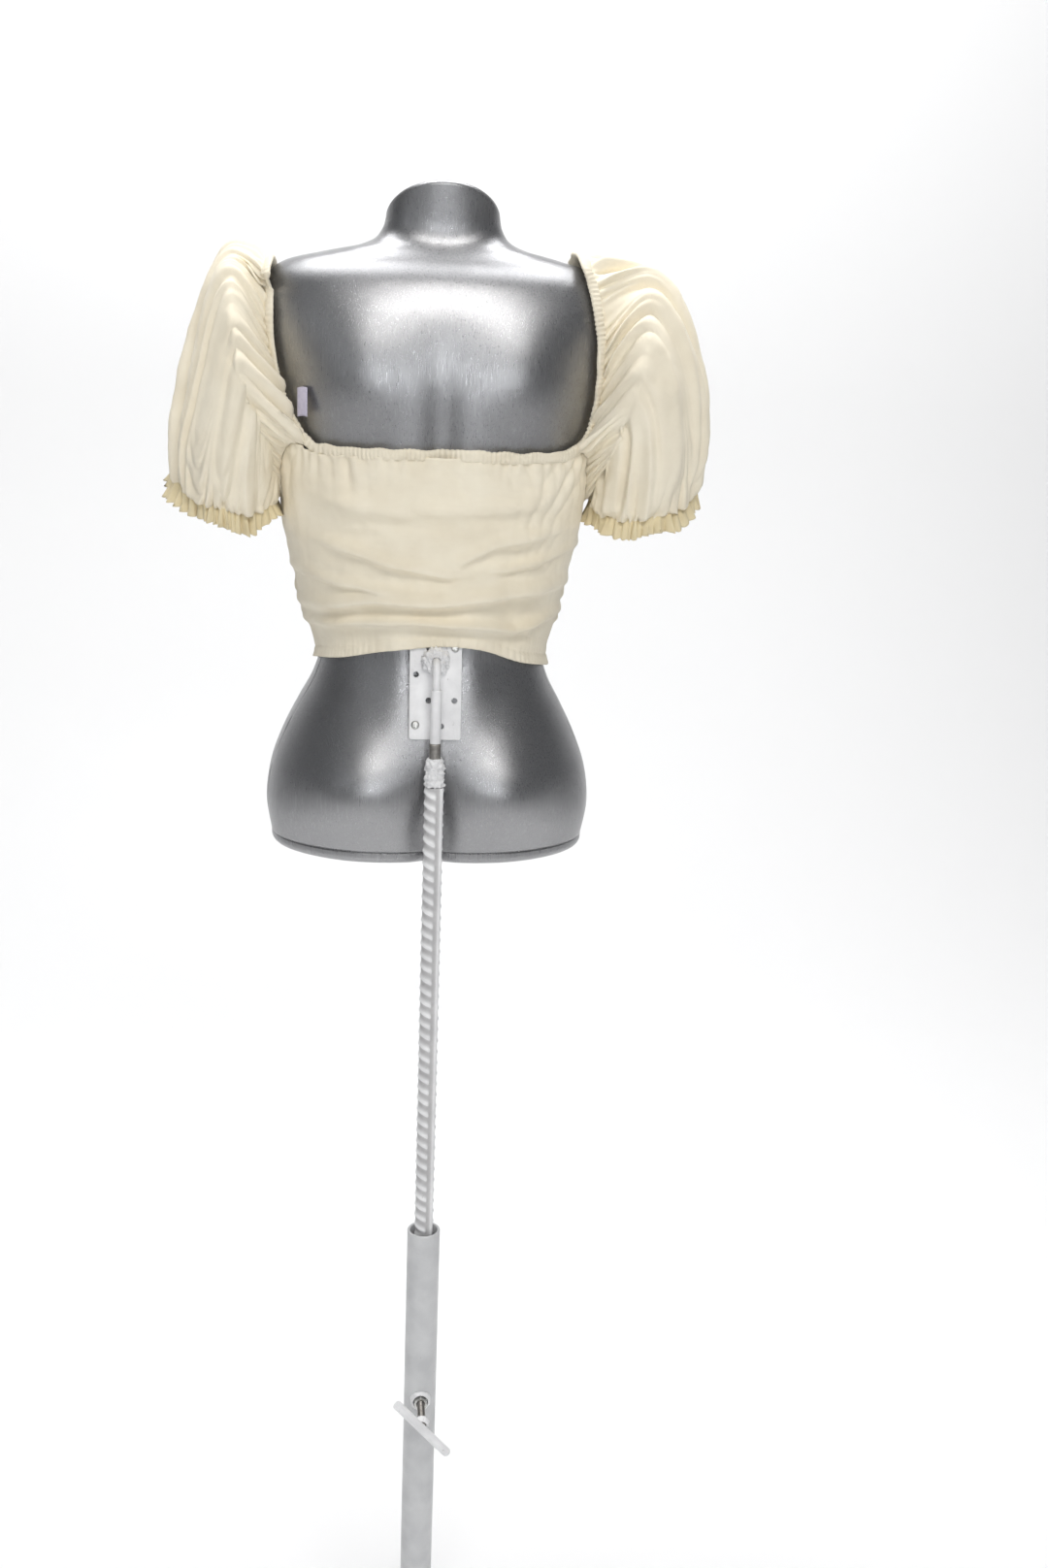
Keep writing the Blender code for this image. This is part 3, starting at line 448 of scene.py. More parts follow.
def carve(bm, tool, keep="DIFFERENCE"):
    """Cuts one bmesh by another, and returns the result as a new bmesh."""
    pair = []
    for name, source in (("carved", bm), ("carver", tool)):
        bmesh.ops.recalc_face_normals(source, faces=source.faces)
        data = bpy.data.meshes.new(name)
        source.to_mesh(data)
        source.free()
        pair.append(placed(name, data))
    cut = pair[0].modifiers.new("cut", "BOOLEAN")
    cut.object, cut.operation, cut.solver = pair[1], keep, "EXACT"
    ready = pair[0].evaluated_get(bpy.context.evaluated_depsgraph_get())
    out = bmesh.new()
    out.from_mesh(ready.to_mesh())
    ready.to_mesh_clear()
    for made in pair:
        bpy.data.meshes.remove(made.data)
    return out


def sweep(path, radius, sides=20, ends=True):
    """A round rod along an array of points, with closed rounded ends."""
    path = np.asarray(path, float)
    way = np.gradient(path, axis=0)
    way /= np.linalg.norm(way, axis=1, keepdims=True)
    side = np.zeros_like(way)
    last = np.cross(way[0], (0.0, 1.0, 0.0) if abs(way[0][1]) < 0.9 else (1.0, 0.0, 0.0))
    for i, direction in enumerate(way):
        last = last - direction * last.dot(direction)
        last /= np.linalg.norm(last)
        side[i] = last
    other = np.cross(way, side)
    turn = np.arange(sides) * TAU / sides
    radii = np.broadcast_to(np.asarray(radius, float), (len(path),))[:, None, None]
    ring = side[:, None] * np.cos(turn)[None, :, None] + other[:, None] * np.sin(turn)[None, :, None]
    rows = path[:, None] + radii * ring
    if ends:
        rows = np.concatenate([np.repeat(path[:1][:, None], sides, 1), rows,
                               np.repeat(path[-1:][:, None], sides, 1)])
    return skin(rows)


def smooth_step(value, low, high):
    f = np.clip((value - low) / (high - low), 0, 1)
    return f * f * (3 - 2 * f)


# ---------------------------------------------------------------- torso surface

BOTTOM = 0.985
HEIGHT, WIDTH, DEPTH = 0.633, 0.330, 0.229
SEAM_Y = -0.42 * DEPTH
SHELL = 0.003

# Sections from the rim to the neck.  Heights are shares of HEIGHT at the side, the back and the front; then
# half the width as a share of half WIDTH; the back's and the front's distance from the stand's axis as
# shares of DEPTH; and how square the section is.
STATIONS = np.array((
    (0.0174, 0.0174, 0.0174, 0.969, 0.087, 0.969, 2.35),
    (0.0711, 0.0711, 0.0711, 1.000, 0.061, 0.991, 2.32),
    (0.1295, 0.1295, 0.1295, 0.972, 0.057, 1.000, 2.30),
    (0.1817, 0.1817, 0.1817, 0.900, 0.074, 0.996, 2.25),
    (0.2291, 0.2291, 0.2291, 0.810, 0.100, 0.965, 2.20),
    (0.2765, 0.2765, 0.2765, 0.715, 0.131, 0.913, 2.12),
    (0.3239, 0.3239, 0.3239, 0.673, 0.148, 0.869, 2.05),
    (0.3949, 0.3949, 0.3949, 0.703, 0.135, 0.865, 2.10),
    (0.4818, 0.4818, 0.4818, 0.782, 0.087, 0.908, 2.20),
    (0.5687, 0.5687, 0.5687, 0.849, 0.039, 0.969, 2.30),
    (0.6556, 0.6556, 0.6556, 0.897, 0.013, 0.969, 2.35),
    (0.7346, 0.7346, 0.7320, 0.970, 0.004, 0.904, 2.40),
    (0.8057, 0.8090, 0.7900, 1.031, 0.022, 0.821, 2.40),
    (0.8610, 0.8610, 0.8330, 1.006, 0.061, 0.734, 2.30),
    (0.8900, 0.8930, 0.8550, 0.897, 0.114, 0.664, 2.20),
    (0.9020, 0.9120, 0.8690, 0.700, 0.144, 0.616, 2.10),
    (0.9083, 0.9260, 0.8780, 0.523, 0.157, 0.590, 2.00),
    (0.9190, 0.9430, 0.8860, 0.402, 0.159, 0.572, 2.00),
    (0.9370, 0.9680, 0.8940, 0.342, 0.148, 0.557, 2.00),
    (0.9540, 1.0000, 0.9080, 0.321, 0.131, 0.541, 2.00),
))
# Side (+1 back, -1 front), distance from the centre line and height as shares, spreads across and up as
# shares, and how far the surface moves.
SWELLINGS = (
    (+1, 0.46, 0.110, 0.32, 0.085, +0.0200),       # buttocks
    (+1, 0.00, 0.060, 0.10, 0.080, -0.0100),       # cleft
    (+1, 0.00, 0.480, 0.11, 0.190, -0.0070),       # spine
    (+1, 0.22, 0.330, 0.13, 0.110, +0.0040),       # loins
    (+1, 0.48, 0.730, 0.26, 0.085, +0.0090),       # shoulder blades
    (+1, 0.00, 0.640, 0.075, 0.085, -0.0042),      # between the shoulder blades
    (-1, 0.47, 0.575, 0.35, 0.095, +0.0360),       # bust
    (-1, 0.00, 0.590, 0.14, 0.090, -0.0120),       # between the breasts
    (-1, 0.00, 0.300, 0.12, 0.120, -0.0040),       # middle of the belly
    (-1, 0.36, 0.855, 0.30, 0.014, +0.0030),       # collar bones
)
# Cloth spans the hollows, so it follows the swellings only.
UNDER_CLOTH = tuple(row for row in SWELLINGS if row[5] > 0)


def catmull(keys, u):
    """Smooth rows of values at an array u, where whole numbers of u are the keys."""
    last = len(keys) - 1
    i = np.clip(u.astype(int), 0, last - 1)
    f = (u - i).reshape(u.shape + (1,) * (keys.ndim - 1))
    a, b, c, d = (keys[np.clip(i + k, 0, last)] for k in (-1, 0, 1, 2))
    return b + 0.5 * f * (c - a + f * (2 * a - 5 * b + 4 * c - d + f * (3 * (b - c) + d - a)))


def torso(u, turn, swellings=SWELLINGS):
    """Points of the torso's outside.  turn is 0 at the back's centre line, a quarter at +X."""
    u, turn = np.broadcast_arrays(np.asarray(u, float), np.asarray(turn, float))
    side, back, front, width, back_y, front_y, square = np.moveaxis(catmull(STATIONS, u), -1, 0)
    across, along = np.sin(turn), np.cos(turn)
    x = np.sign(across) * np.abs(across) ** (2 / square) * width
    share = np.abs(along) ** (2 / square)
    facing = np.where(along >= 0, 1.0, -1.0)
    level = side + (np.where(along >= 0, back, front) - side) * share
    middle = (back_y + front_y) / 2
    y = (facing * (middle - back_y) * share - middle) * DEPTH
    for face, off, height, wide, tall, push in swellings:
        near = np.exp(-((np.abs(x) - off) / wide) ** 2 - ((level - height) / tall) ** 2)
        y = y + np.where(facing == face, face * push * near * np.minimum(1.0, share * 1.6), 0.0)
    return np.stack([x * WIDTH / 2, y, BOTTOM + level * HEIGHT], -1)


SHARE_TABLE = catmull(STATIONS, np.linspace(0, len(STATIONS) - 1.001, 2000))[:, 0]


def station_at(share):
    return np.interp(share, SHARE_TABLE, np.linspace(0, len(STATIONS) - 1.001, 2000))


def off_torso(share, turn, ease, swellings=UNDER_CLOTH):
    """Points this far off the torso, at shares of its height."""
    u = station_at(share)
    up = torso(u + 0.05, turn, swellings) - torso(u - 0.05, turn, swellings)
    along = torso(u, turn + 0.03, swellings) - torso(u, turn - 0.03, swellings)
    out = np.cross(up, along)
    out /= np.linalg.norm(out, axis=-1, keepdims=True)
    return torso(u, turn, swellings) + out * np.asarray(ease)[..., None]


def turn_at(x, share, facing=1):
    """The turn at which the torso reaches this distance from the centre line."""
    turns = np.linspace(0, math.pi / 2, 400)
    reach = torso(np.full(400, station_at(share)), turns if facing > 0 else math.pi - turns)[:, 0]
    found = float(np.interp(abs(x), reach, turns))
    return math.copysign(found if facing > 0 else math.pi - found, x)


def make_torso():
    rows = 8 * (len(STATIONS) - 1)
    u = np.linspace(0, len(STATIONS) - 1, rows + 1)[:, None]
    turn = (np.arange(176) * TAU / 176)[None, :]
    points = torso(u, turn)
    whole = skin(points)
    bmesh.ops.reverse_faces(whole, faces=whole.faces)
    whole.normal_update()
    tree = BVHTree.FromBMesh(whole)
    whole.free()
    for name, facing in (("torso_back", 1), ("torso_front", -1)):
        bm = skin(points)
        edge = (0, SEAM_Y + facing * GAP / 2, 0)
        bmesh.ops.bisect_plane(bm, geom=bm.verts[:] + bm.edges[:] + bm.faces[:], plane_co=edge,
                               plane_no=(0, -facing, 0), clear_outer=True)
        half = piece(name + "_shell", bm, SILVER, "torso", [name], centred=True)
        wall = half.modifiers.new("wall", "SOLIDIFY")
        wall.thickness, wall.offset, wall.use_even_offset = SHELL, -1, False
    make_bottom_panel(points[0])
    make_neck_cap(points[-1])
    return tree


def make_bottom_panel(outline):
    """The board under the torso, with its lower edge rounded in."""
    middle = np.array((0.0, SEAM_Y, 0.0))
    flat = outline * (1, 1, 0) - middle
    reach = np.linalg.norm(flat, axis=-1, keepdims=True)
    top = outline[0, 2]
    rounding = 0.007
    rings = []

    def ring(inset, z):
        rings.append(middle + flat * (1 - np.minimum(inset, reach) / reach) + (0, 0, z))

    for inset in (1.0, 0.06, 0.012, 0.0022, 0.0008):
        ring(inset, top - GAP)
    ring(0.0, top - 0.0011)
    for step in range(9):
        angle = math.pi / 2 * step / 8
        ring(rounding * (1 - math.cos(angle)), BOTTOM + rounding * (1 - math.sin(angle)))
    for inset in (0.012, 0.06, 1.0):
        ring(inset, BOTTOM)
    piece("torso_floor", skin(np.array(rings)), SILVER, "torso", ["bottom_panel"])


def make_neck_cap(outline):
    """The slanted lid of the neck, with a softened rim."""
    back, front = outline[0], outline[len(outline) // 2]
    middle = (back + front) / 2
    normal = np.cross((1.0, 0.0, 0.0), back - front)
    normal /= np.linalg.norm(normal)
    out = outline - middle
    out -= np.outer(out @ normal, normal)
    reach = np.linalg.norm(out, axis=-1, keepdims=True)
    rings = []

    def ring(inset, lift):
        rings.append(middle + out * (1 - np.minimum(inset, reach) / reach) + normal * lift)

    thick, edge = 0.005, 0.0034
    for inset in (1.0, 0.02, 0.003, 0.0006):
        ring(inset, GAP)
    ring(0.0, GAP + 0.0005)
    for step in range(7):
        angle = math.pi / 2 * step / 6
        ring(edge * (1 - math.cos(angle)), thick - edge * (1 - math.sin(angle)))
    for inset, lift in ((0.012, thick + 0.0002), (0.03, thick + 0.0003), (1.0, thick + 0.0003)):
        ring(inset, lift)
    piece("neck_lid", skin(np.array(rings)), SILVER, "torso", ["neck_cap"])


TORSO_TREE = make_torso()


def keep_clear(points, least):
    """Moves points that come too near the torso out to the least distance."""
    flat = points.reshape(-1, 3)
    out = flat.copy()
    for i, point in enumerate(flat.tolist()):
        spot, normal, _, far = TORSO_TREE.find_nearest(Vector(point), 0.05)
        if spot is None:
            continue
        inside = (Vector(point) - spot).dot(normal)
        if inside < least and (far < least * 4 or inside < 0):
            out[i] = spot + normal * least
    return out.reshape(points.shape)


# ---------------------------------------------------------------- folds and gathers

def wander(t, size, seed, terms=7):
    """A smooth random value that comes back to itself as t goes from 0 to 1."""
    draw = np.random.default_rng(seed)
    out = np.zeros_like(t)
    for k in range(1, terms + 1):
        a, b = draw.normal(size=2) / math.sqrt(terms)
        out = out + a * np.sin(TAU * k * t) + b * np.cos(TAU * k * t)
    return size * out


def pleat(phase, sharp=0.85):
    """A wave with round crests and narrow valleys, from -1 to 1."""
    return 2 * np.abs(np.cos(phase / 2)) ** sharp - 1


def gathers(t, d, count, size, reach, seed):
    """Folds that run away from a gathered edge: t from 0 to 1 along it, d the distance from it.

    Small folds near the edge join into fewer and wider ones further away."""
    out = np.zeros_like(t * d)
    for k, (share, grow, fade) in enumerate(((0.75, 0.0, 0.35), (1.1, 0.15, 0.8), (1.25, 0.5, 1.7))):
        folds = max(2, round(count / 2 ** k))
        drift = wander(t, 1.6, seed + 10 * k) + wander(t, 0.9, seed + 10 * k + 5) * d / reach
        strength = np.clip(1 + wander(t, 0.55, seed + 100 + k, 17), 0.15, 2.0)
        window = np.exp(-d / (fade * reach))
        if grow:
            window = window * (1 - np.exp(-d / (grow * reach)))
        out = out + size * share * strength * window * pleat(TAU * folds * t + drift * 2)
    return out


def ridge(x, height, line, width, size, undercut=0.6):
    """A fold along a line of (x, height) points, steeper below its crest, fading out at its ends."""
    xs, zs = zip(*sorted(line))
    d = height - np.interp(x, xs, zs)
    side = np.where(d > 0, width, width * undercut)
    start = smooth_step(x, xs[0] - 0.03, xs[0] + 0.012)
    end = 1 - smooth_step(x, xs[-1] - 0.012, xs[-1] + 0.03)
    return size * (start * end) * np.exp(-(d / side) ** 2)


def normals_of(points, closed=True):
    """Unit normals of a grid of points, away from each row's middle."""
    if closed:
        along = np.roll(points, -1, 1) - np.roll(points, 1, 1)
    else:
        along = np.gradient(points, axis=1)
    out = np.cross(np.gradient(points, axis=0), along)
    out /= np.maximum(np.linalg.norm(out, axis=-1, keepdims=True), 1e-9)
    away = points - points.mean(axis=1, keepdims=True)
    return out * (1 if (out * away).sum() > 0 else -1)


# ---------------------------------------------------------------- bodice

HEM_BACK, HEM_SIDE, NECKLINE, UNDERARM = 0.342, 0.2930, 0.6225, 0.5545
PLATE_TOP = (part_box("mount_plate")[1].z - BOTTOM) / HEIGHT


def bodice_top(turn):
    rise = smooth_step(np.abs(np.cos(turn)), 0.10, 0.44)
    corner = (np.arccos(np.clip(np.abs(np.cos(turn)), 0, 1)) - math.radians(58)) / math.radians(8)
    return UNDERARM + (NECKLINE - UNDERARM) * rise + 0.0125 * np.exp(-corner ** 2)


# Folds of the back, as (distance from the centre line, height above the rim) from the wearer's left to right
BACK_FOLDS = (
    (((0.110, 0.250), (0.050, 0.262), (0.000, 0.262), (-0.060, 0.268), (-0.120, 0.275)), 0.0100, 0.0062),
    (((0.112, 0.230), (0.060, 0.237), (0.020, 0.241), (-0.030, 0.238), (-0.070, 0.230), (-0.120, 0.246)),
     0.0080, 0.0052),
    (((0.100, 0.315), (0.045, 0.298), (-0.010, 0.288)), 0.0085, 0.0040),
    (((-0.020, 0.300), (-0.050, 0.316), (-0.115, 0.330)), 0.0090, 0.0038),
    (((0.095, 0.352), (0.030, 0.345), (-0.030, 0.348), (-0.095, 0.356)), 0.0160, 0.0034),
    (((0.120, 0.285), (0.085, 0.276), (0.050, 0.272)), 0.0070, 0.0034),
    (((-0.060, 0.292), (-0.095, 0.300), (-0.130, 0.312)), 0.0070, 0.0036),
)
FRONT_FOLDS = (
    (((0.115, 0.262), (0.040, 0.254), (-0.040, 0.256), (-0.115, 0.260)), 0.0110, 0.0060),
    (((0.110, 0.236), (0.040, 0.231), (-0.020, 0.236), (-0.115, 0.234)), 0.0085, 0.0048),
    (((0.110, 0.300), (0.050, 0.286), (0.005, 0.280)), 0.0090, 0.0042),
    (((-0.010, 0.282), (-0.060, 0.292), (-0.110, 0.306)), 0.0090, 0.0042),
)


def make_bodice():
    """The band of cloth round the torso, from the hem to the neckline and the underarms."""
    rows, count = 110, 400
    v = np.linspace(0, 1, rows)[:, None]
    turn = (np.arange(count) * TAU / count)[None, :]
    t = turn / TAU
    face = np.abs(np.cos(turn))
    hem = HEM_SIDE + (HEM_BACK - HEM_SIDE) * face ** 2.2 + wander(t, 0.0022, 3, 9)
    share = hem + (bodice_top(turn) - hem) * v
    at_side = 1 - face ** 0.8
    loose = smooth_step(v, 0.02, 0.34)
    ease = 0.0042 + loose * (0.0040 + 0.0052 * at_side) * (1 - 0.30 * smooth_step(v, 0.82, 1.0))
    ease = ease + loose * 0.0022 * np.sin(turn)
    level = share * HEIGHT
    x = torso(station_at(share), turn)[..., 0]
    behind = np.cos(turn) > 0
    over = (share - PLATE_TOP) * HEIGHT / 0.060
    ease = ease + np.where(behind, 0.0085 * np.exp(-(x / 0.050) ** 4 - over ** 2), 0.0)

    folds = np.zeros_like(x)
    flat_side = 1 - 0.65 * smooth_step(np.abs(x), 0.080, 0.112)
    for line, width, size in BACK_FOLDS:
        folds += np.where(behind, ridge(x, level, line, 0.85 * width, 2.1 * size), 0.0)
    for line, width, size in FRONT_FOLDS:
        folds += np.where(behind, 0.0, ridge(x, level, line, 0.85 * width, 2.1 * size))
    folds *= flat_side
    below_top = (bodice_top(turn) - share) * HEIGHT
    folds += gathers(t, below_top, 84, 0.0021, 0.022, 31) * (0.25 + 0.75 * smooth_step(face, 0.2, 0.5))
    above_hem = (share - hem) * HEIGHT
    away_from_hem = smooth_step(above_hem, 0.006, 0.028)
    spots = off_torso(share, turn, ease)
    creases = 0.0028 * lumps(spots * (1, 1, 2.2), 16.0, 1) + 0.0016 * lumps(spots * (1, 1, 2.8), 38.0, 2)
    folds += away_from_hem * flat_side * creases
    folds += 0.0005 * lumps(spots, 130.0, 3)
    # a doubled hem, stitched along its upper edge, with small puckers
    band = 1 - smooth_step(above_hem, 0.0100, 0.0116)
    stitch = np.exp(-((above_hem - 0.0112) / 0.0009) ** 2)
    puckers = 0.0006 * np.exp(-above_hem / 0.02) * pleat(TAU * 96 * t + wander(t, 4, 8))
    folds += 0.0006 * band - 0.0007 * stitch + puckers
    points = off_torso(share, turn, ease + folds)
    points = keep_clear(points, 0.0022)
    bodice = piece("bodice_cloth", skin(points), COTTON, "torso", ["bodice"], 180, True)
    thicken(bodice, 0.0013)
    return points[-1]


def thicken(cloth, size):
    wall = cloth.modifiers.new("cloth", "SOLIDIFY")
    wall.thickness, wall.offset = size, -1


BODICE_TOP = make_bodice()


# ---------------------------------------------------------------- neckline casing

# The elastic edge from the middle of the back over a shoulder to the middle of the front, on the wearer's
# left (1) and right (-1): the top has slipped a little towards the left.
CASING_BACK = {
    1: ((0.0, 0.6256), (0.150, 0.6256), (0.303, 0.6256), (0.450, 0.6260), (0.576, 0.6275), (0.675, 0.6300),
        (0.722, 0.6390), (0.765, 0.6550), (0.810, 0.6760), (0.862, 0.7100), (0.892, 0.7380), (0.918, 0.7720),
        (0.928, 0.8120), (0.925, 0.8450)),
    -1: ((0.0, 0.6256), (0.150, 0.6256), (0.303, 0.6256), (0.450, 0.6260), (0.576, 0.6275), (0.675, 0.6290),
         (0.730, 0.6345), (0.780, 0.6440), (0.822, 0.6600), (0.847, 0.6820), (0.862, 0.7100),
         (0.868, 0.7420),
         (0.866, 0.7700), (0.858, 0.8030), (0.836, 0.8360), (0.808, 0.8660)),
}
SHOULDER_TOP = {
    1: ((0.970, -0.153, 0.867), (0.961, -0.240, 0.886), (0.958, -0.371, 0.890), (0.952, -0.489, 0.874),
        (0.939, -0.590, 0.842)),
    -1: ((0.794, -0.175, 0.894), (0.779, -0.262, 0.912), (0.770, -0.371, 0.914), (0.770, -0.489, 0.897),
         (0.782, -0.590, 0.867)),
}
CASING_FRONT = {
    1: ((0.915, 0.800), (0.880, 0.740), (0.835, 0.690), (0.775, 0.655), (0.690, 0.636), (0.580, 0.628),
        (0.364, 0.6256), (0.150, 0.6256), (0.0, 0.6256)),
    -1: ((0.795, 0.825), (0.800, 0.765), (0.775, 0.705), (0.735, 0.662), (0.655, 0.635), (0.520, 0.6275),
         (0.364, 0.6256), (0.150, 0.6256), (0.0, 0.6256)),
}
CASING_EASE = 0.0064
BAND_HALF = 0.0054


def off_point(x, share, ease, facing=1):
    return off_torso(np.array(share), np.array(turn_at(x * WIDTH / 2, share, facing)), np.array(ease),
                     SWELLINGS)


def casing_side(side):
    """The casing's line from the middle of the back to the middle of the front, laid on the left side."""
    line = [off_point(x, share, CASING_EASE) for x, share in CASING_BACK[side]]
    line += [np.array((x * WIDTH / 2, y * DEPTH, BOTTOM + z * HEIGHT)) for x, y, z in SHOULDER_TOP[side]]
    line += [off_point(x, share, CASING_EASE, -1) for x, share in CASING_FRONT[side]]
    return np.array(line)


def resampled(line, count, closed=False):
    """A smooth line through points, with even steps."""
    if closed:
        keys = np.concatenate([line[-1:], line, line[:2]])
        fine = catmull(keys, np.linspace(1, len(line) + 1, 40 * len(line)))
    else:
        fine = catmull(line, np.linspace(0, len(line) - 1, 40 * len(line)))
    steps = np.concatenate([[0], np.cumsum(np.linalg.norm(np.diff(fine, axis=0), axis=1))])
    want = np.linspace(0, steps[-1], count, endpoint=not closed)
    return np.stack([np.interp(want, steps, fine[:, k]) for k in range(3)], -1)


def beside_band(line):
    """A line along the outer edge of the band, tucked under it."""
    line = resampled(line, 400)
    way = np.gradient(line, axis=0)
    way /= np.linalg.norm(way, axis=1, keepdims=True)
    out = away_from_torso(line)
    across = np.cross(way, out)
    middle = np.array((0, line[:, 1].mean(), BOTTOM + 0.8 * HEIGHT))
    away = np.sign(((line - middle) * across).sum())
    return line + across * away * 0.55 * BAND_HALF - out * 0.0012


def away_from_torso(points):
    """The torso's outward directions along a closed line, smoothed."""
    out = np.array([tuple(TORSO_TREE.find_nearest(Vector(point))[1]) for point in points.tolist()])
    for _ in range(80):
        out = (np.roll(out, 1, 0) + out + np.roll(out, -1, 0)) / 3
    return out / np.linalg.norm(out, axis=1, keepdims=True)


def make_casing():
    """The elastic edge of the neckline: a flat band whose cloth is crowded into small ribs."""
    mirrored = CASING_SIDE[-1][::-1][1:-1] * (-1, 1, 1)
    line = resampled(np.concatenate([CASING_SIDE[1], mirrored]), 1500, closed=True)
    t = np.arange(len(line)) / len(line)
    out = away_from_torso(line)
    way = np.roll(line, -1, 0) - np.roll(line, 1, 0)
    way /= np.linalg.norm(way, axis=1, keepdims=True)
    across = np.cross(way, out)
    ribs = pleat(TAU * 330 * t + wander(t, 9, 5, 13), 0.7) * (0.8 + wander(t, 0.35, 6, 40))
    half = BAND_HALF * (1 + 0.05 * ribs + wander(t, 0.05, 7, 60))
    thick = 0.0024 * (1 + 0.34 * ribs)
    sides = 14
    turn = np.arange(sides) * TAU / sides
    flat = np.sign(np.cos(turn)) * np.abs(np.cos(turn)) ** 0.8
    slant = wander(t, 0.0004, 9, 80)
    points = (line[:, None] + across[:, None] * (half[:, None] * flat[None] + slant[:, None])[..., None]
              + out[:, None] * (thick[:, None] * np.sin(turn)[None] + 0.0004)[..., None])
    points = keep_clear(points, 0.0012)
    piece("neckline_band", skin(points, loop=True), COTTON, "torso", ["neckline_casing"],
          180)


CASING_SIDE = {side: casing_side(side) for side in (1, -1)}
make_casing()


# ---------------------------------------------------------------- sleeves

# Rings from the armhole to the cuff: the centre as X, Y and Z, half of the span outwards and upwards, half
# of the depth, and how far the back hangs lower.  X and the span outwards are shares of half WIDTH, Y and
# the depth are shares of DEPTH, and the others are shares of HEIGHT.
SLEEVE_SECTIONS = {
    1: ((1.085, -0.437, 0.7480, 0.095, 0.1600, 0.3780, 0.000),
        (1.135, -0.437, 0.7320, 0.190, 0.1180, 0.3850, 0.000),
        (1.170, -0.437, 0.6850, 0.250, 0.0640, 0.3780, 0.006),
        (1.215, -0.437, 0.6270, 0.300, 0.0270, 0.3500, 0.018),
        (1.228, -0.437, 0.5850, 0.305, 0.0190, 0.2850, 0.028),
        (1.225, -0.437, 0.5640, 0.285, 0.0180, 0.2480, 0.032)),
    -1: ((1.065, -0.437, 0.7480, 0.115, 0.1600, 0.3780, 0.000),
         (1.160, -0.437, 0.7320, 0.230, 0.1180, 0.3950, 0.000),
         (1.225, -0.437, 0.6880, 0.305, 0.0640, 0.3880, 0.006),
         (1.245, -0.437, 0.6300, 0.325, 0.0300, 0.3500, 0.018),
         (1.238, -0.437, 0.5880, 0.315, 0.0200, 0.2850, 0.028),
         (1.232, -0.437, 0.5690, 0.300, 0.0190, 0.2480, 0.032)),
}
SLEEVE_COLUMNS = 520
SLEEVE_RADIUS = 0.085       # roughly, to turn angles round a sleeve into lengths


def sleeve_root(side):
    """The armhole: down the casing at the back, under the arm along the bodice, and up the front."""
    edge = BODICE_TOP if side > 0 else np.roll(BODICE_TOP[::-1], 1, 0) * (-1, 1, 1)
    count = len(edge)
    under = edge[round(count * 0.166):round(count * 0.334) + 1]
    casing = beside_band(CASING_SIDE[side])
    upper = casing[casing[:, 2] > BOTTOM + 0.629 * HEIGHT]
    top = int(np.argmax(upper[:, 2]))
    line = np.concatenate([upper[top::-1], under, upper[:top:-1]])
    return resampled(line, SLEEVE_COLUMNS, closed=True)


def sleeve_ring(section, turn):
    cx, cy, cz, hx, hz, deep, tilt = section
    out, back = np.cos(turn), np.sin(turn)
    squarer = np.abs(back) ** 0.9 * np.sign(back)
    return np.stack([(cx + hx * out) * WIDTH / 2, (cy + deep * squarer) * DEPTH,
                     BOTTOM + (cz + hz * out - tilt * back) * HEIGHT], -1)


def root_gathers(t, d, seed):
    """Short deep folds where the sleeve is gathered to the elastic, and half as many that run on further."""
    uneven = np.clip(1 + wander(t, 0.6, seed + 31, 21), 0.1, 2.0)
    drift = wander(t, 1.8, seed) + wander(t, 0.9, seed + 5) * d / 0.03
    near = smooth_step(d, 0.0, 0.006) * np.exp(-(d / 0.034) ** 2) * pleat(TAU * 64 * t + 2 * drift)
    uneven_far = np.clip(1 + wander(t, 0.7, seed + 32, 13), 0.0, 2.2)
    far = smooth_step(d, 0.002, 0.018) * np.exp(-(d / 0.058) ** 2) * pleat(TAU * 32 * t + drift)
    return 0.0030 * uneven * near + 0.0040 * uneven_far * far


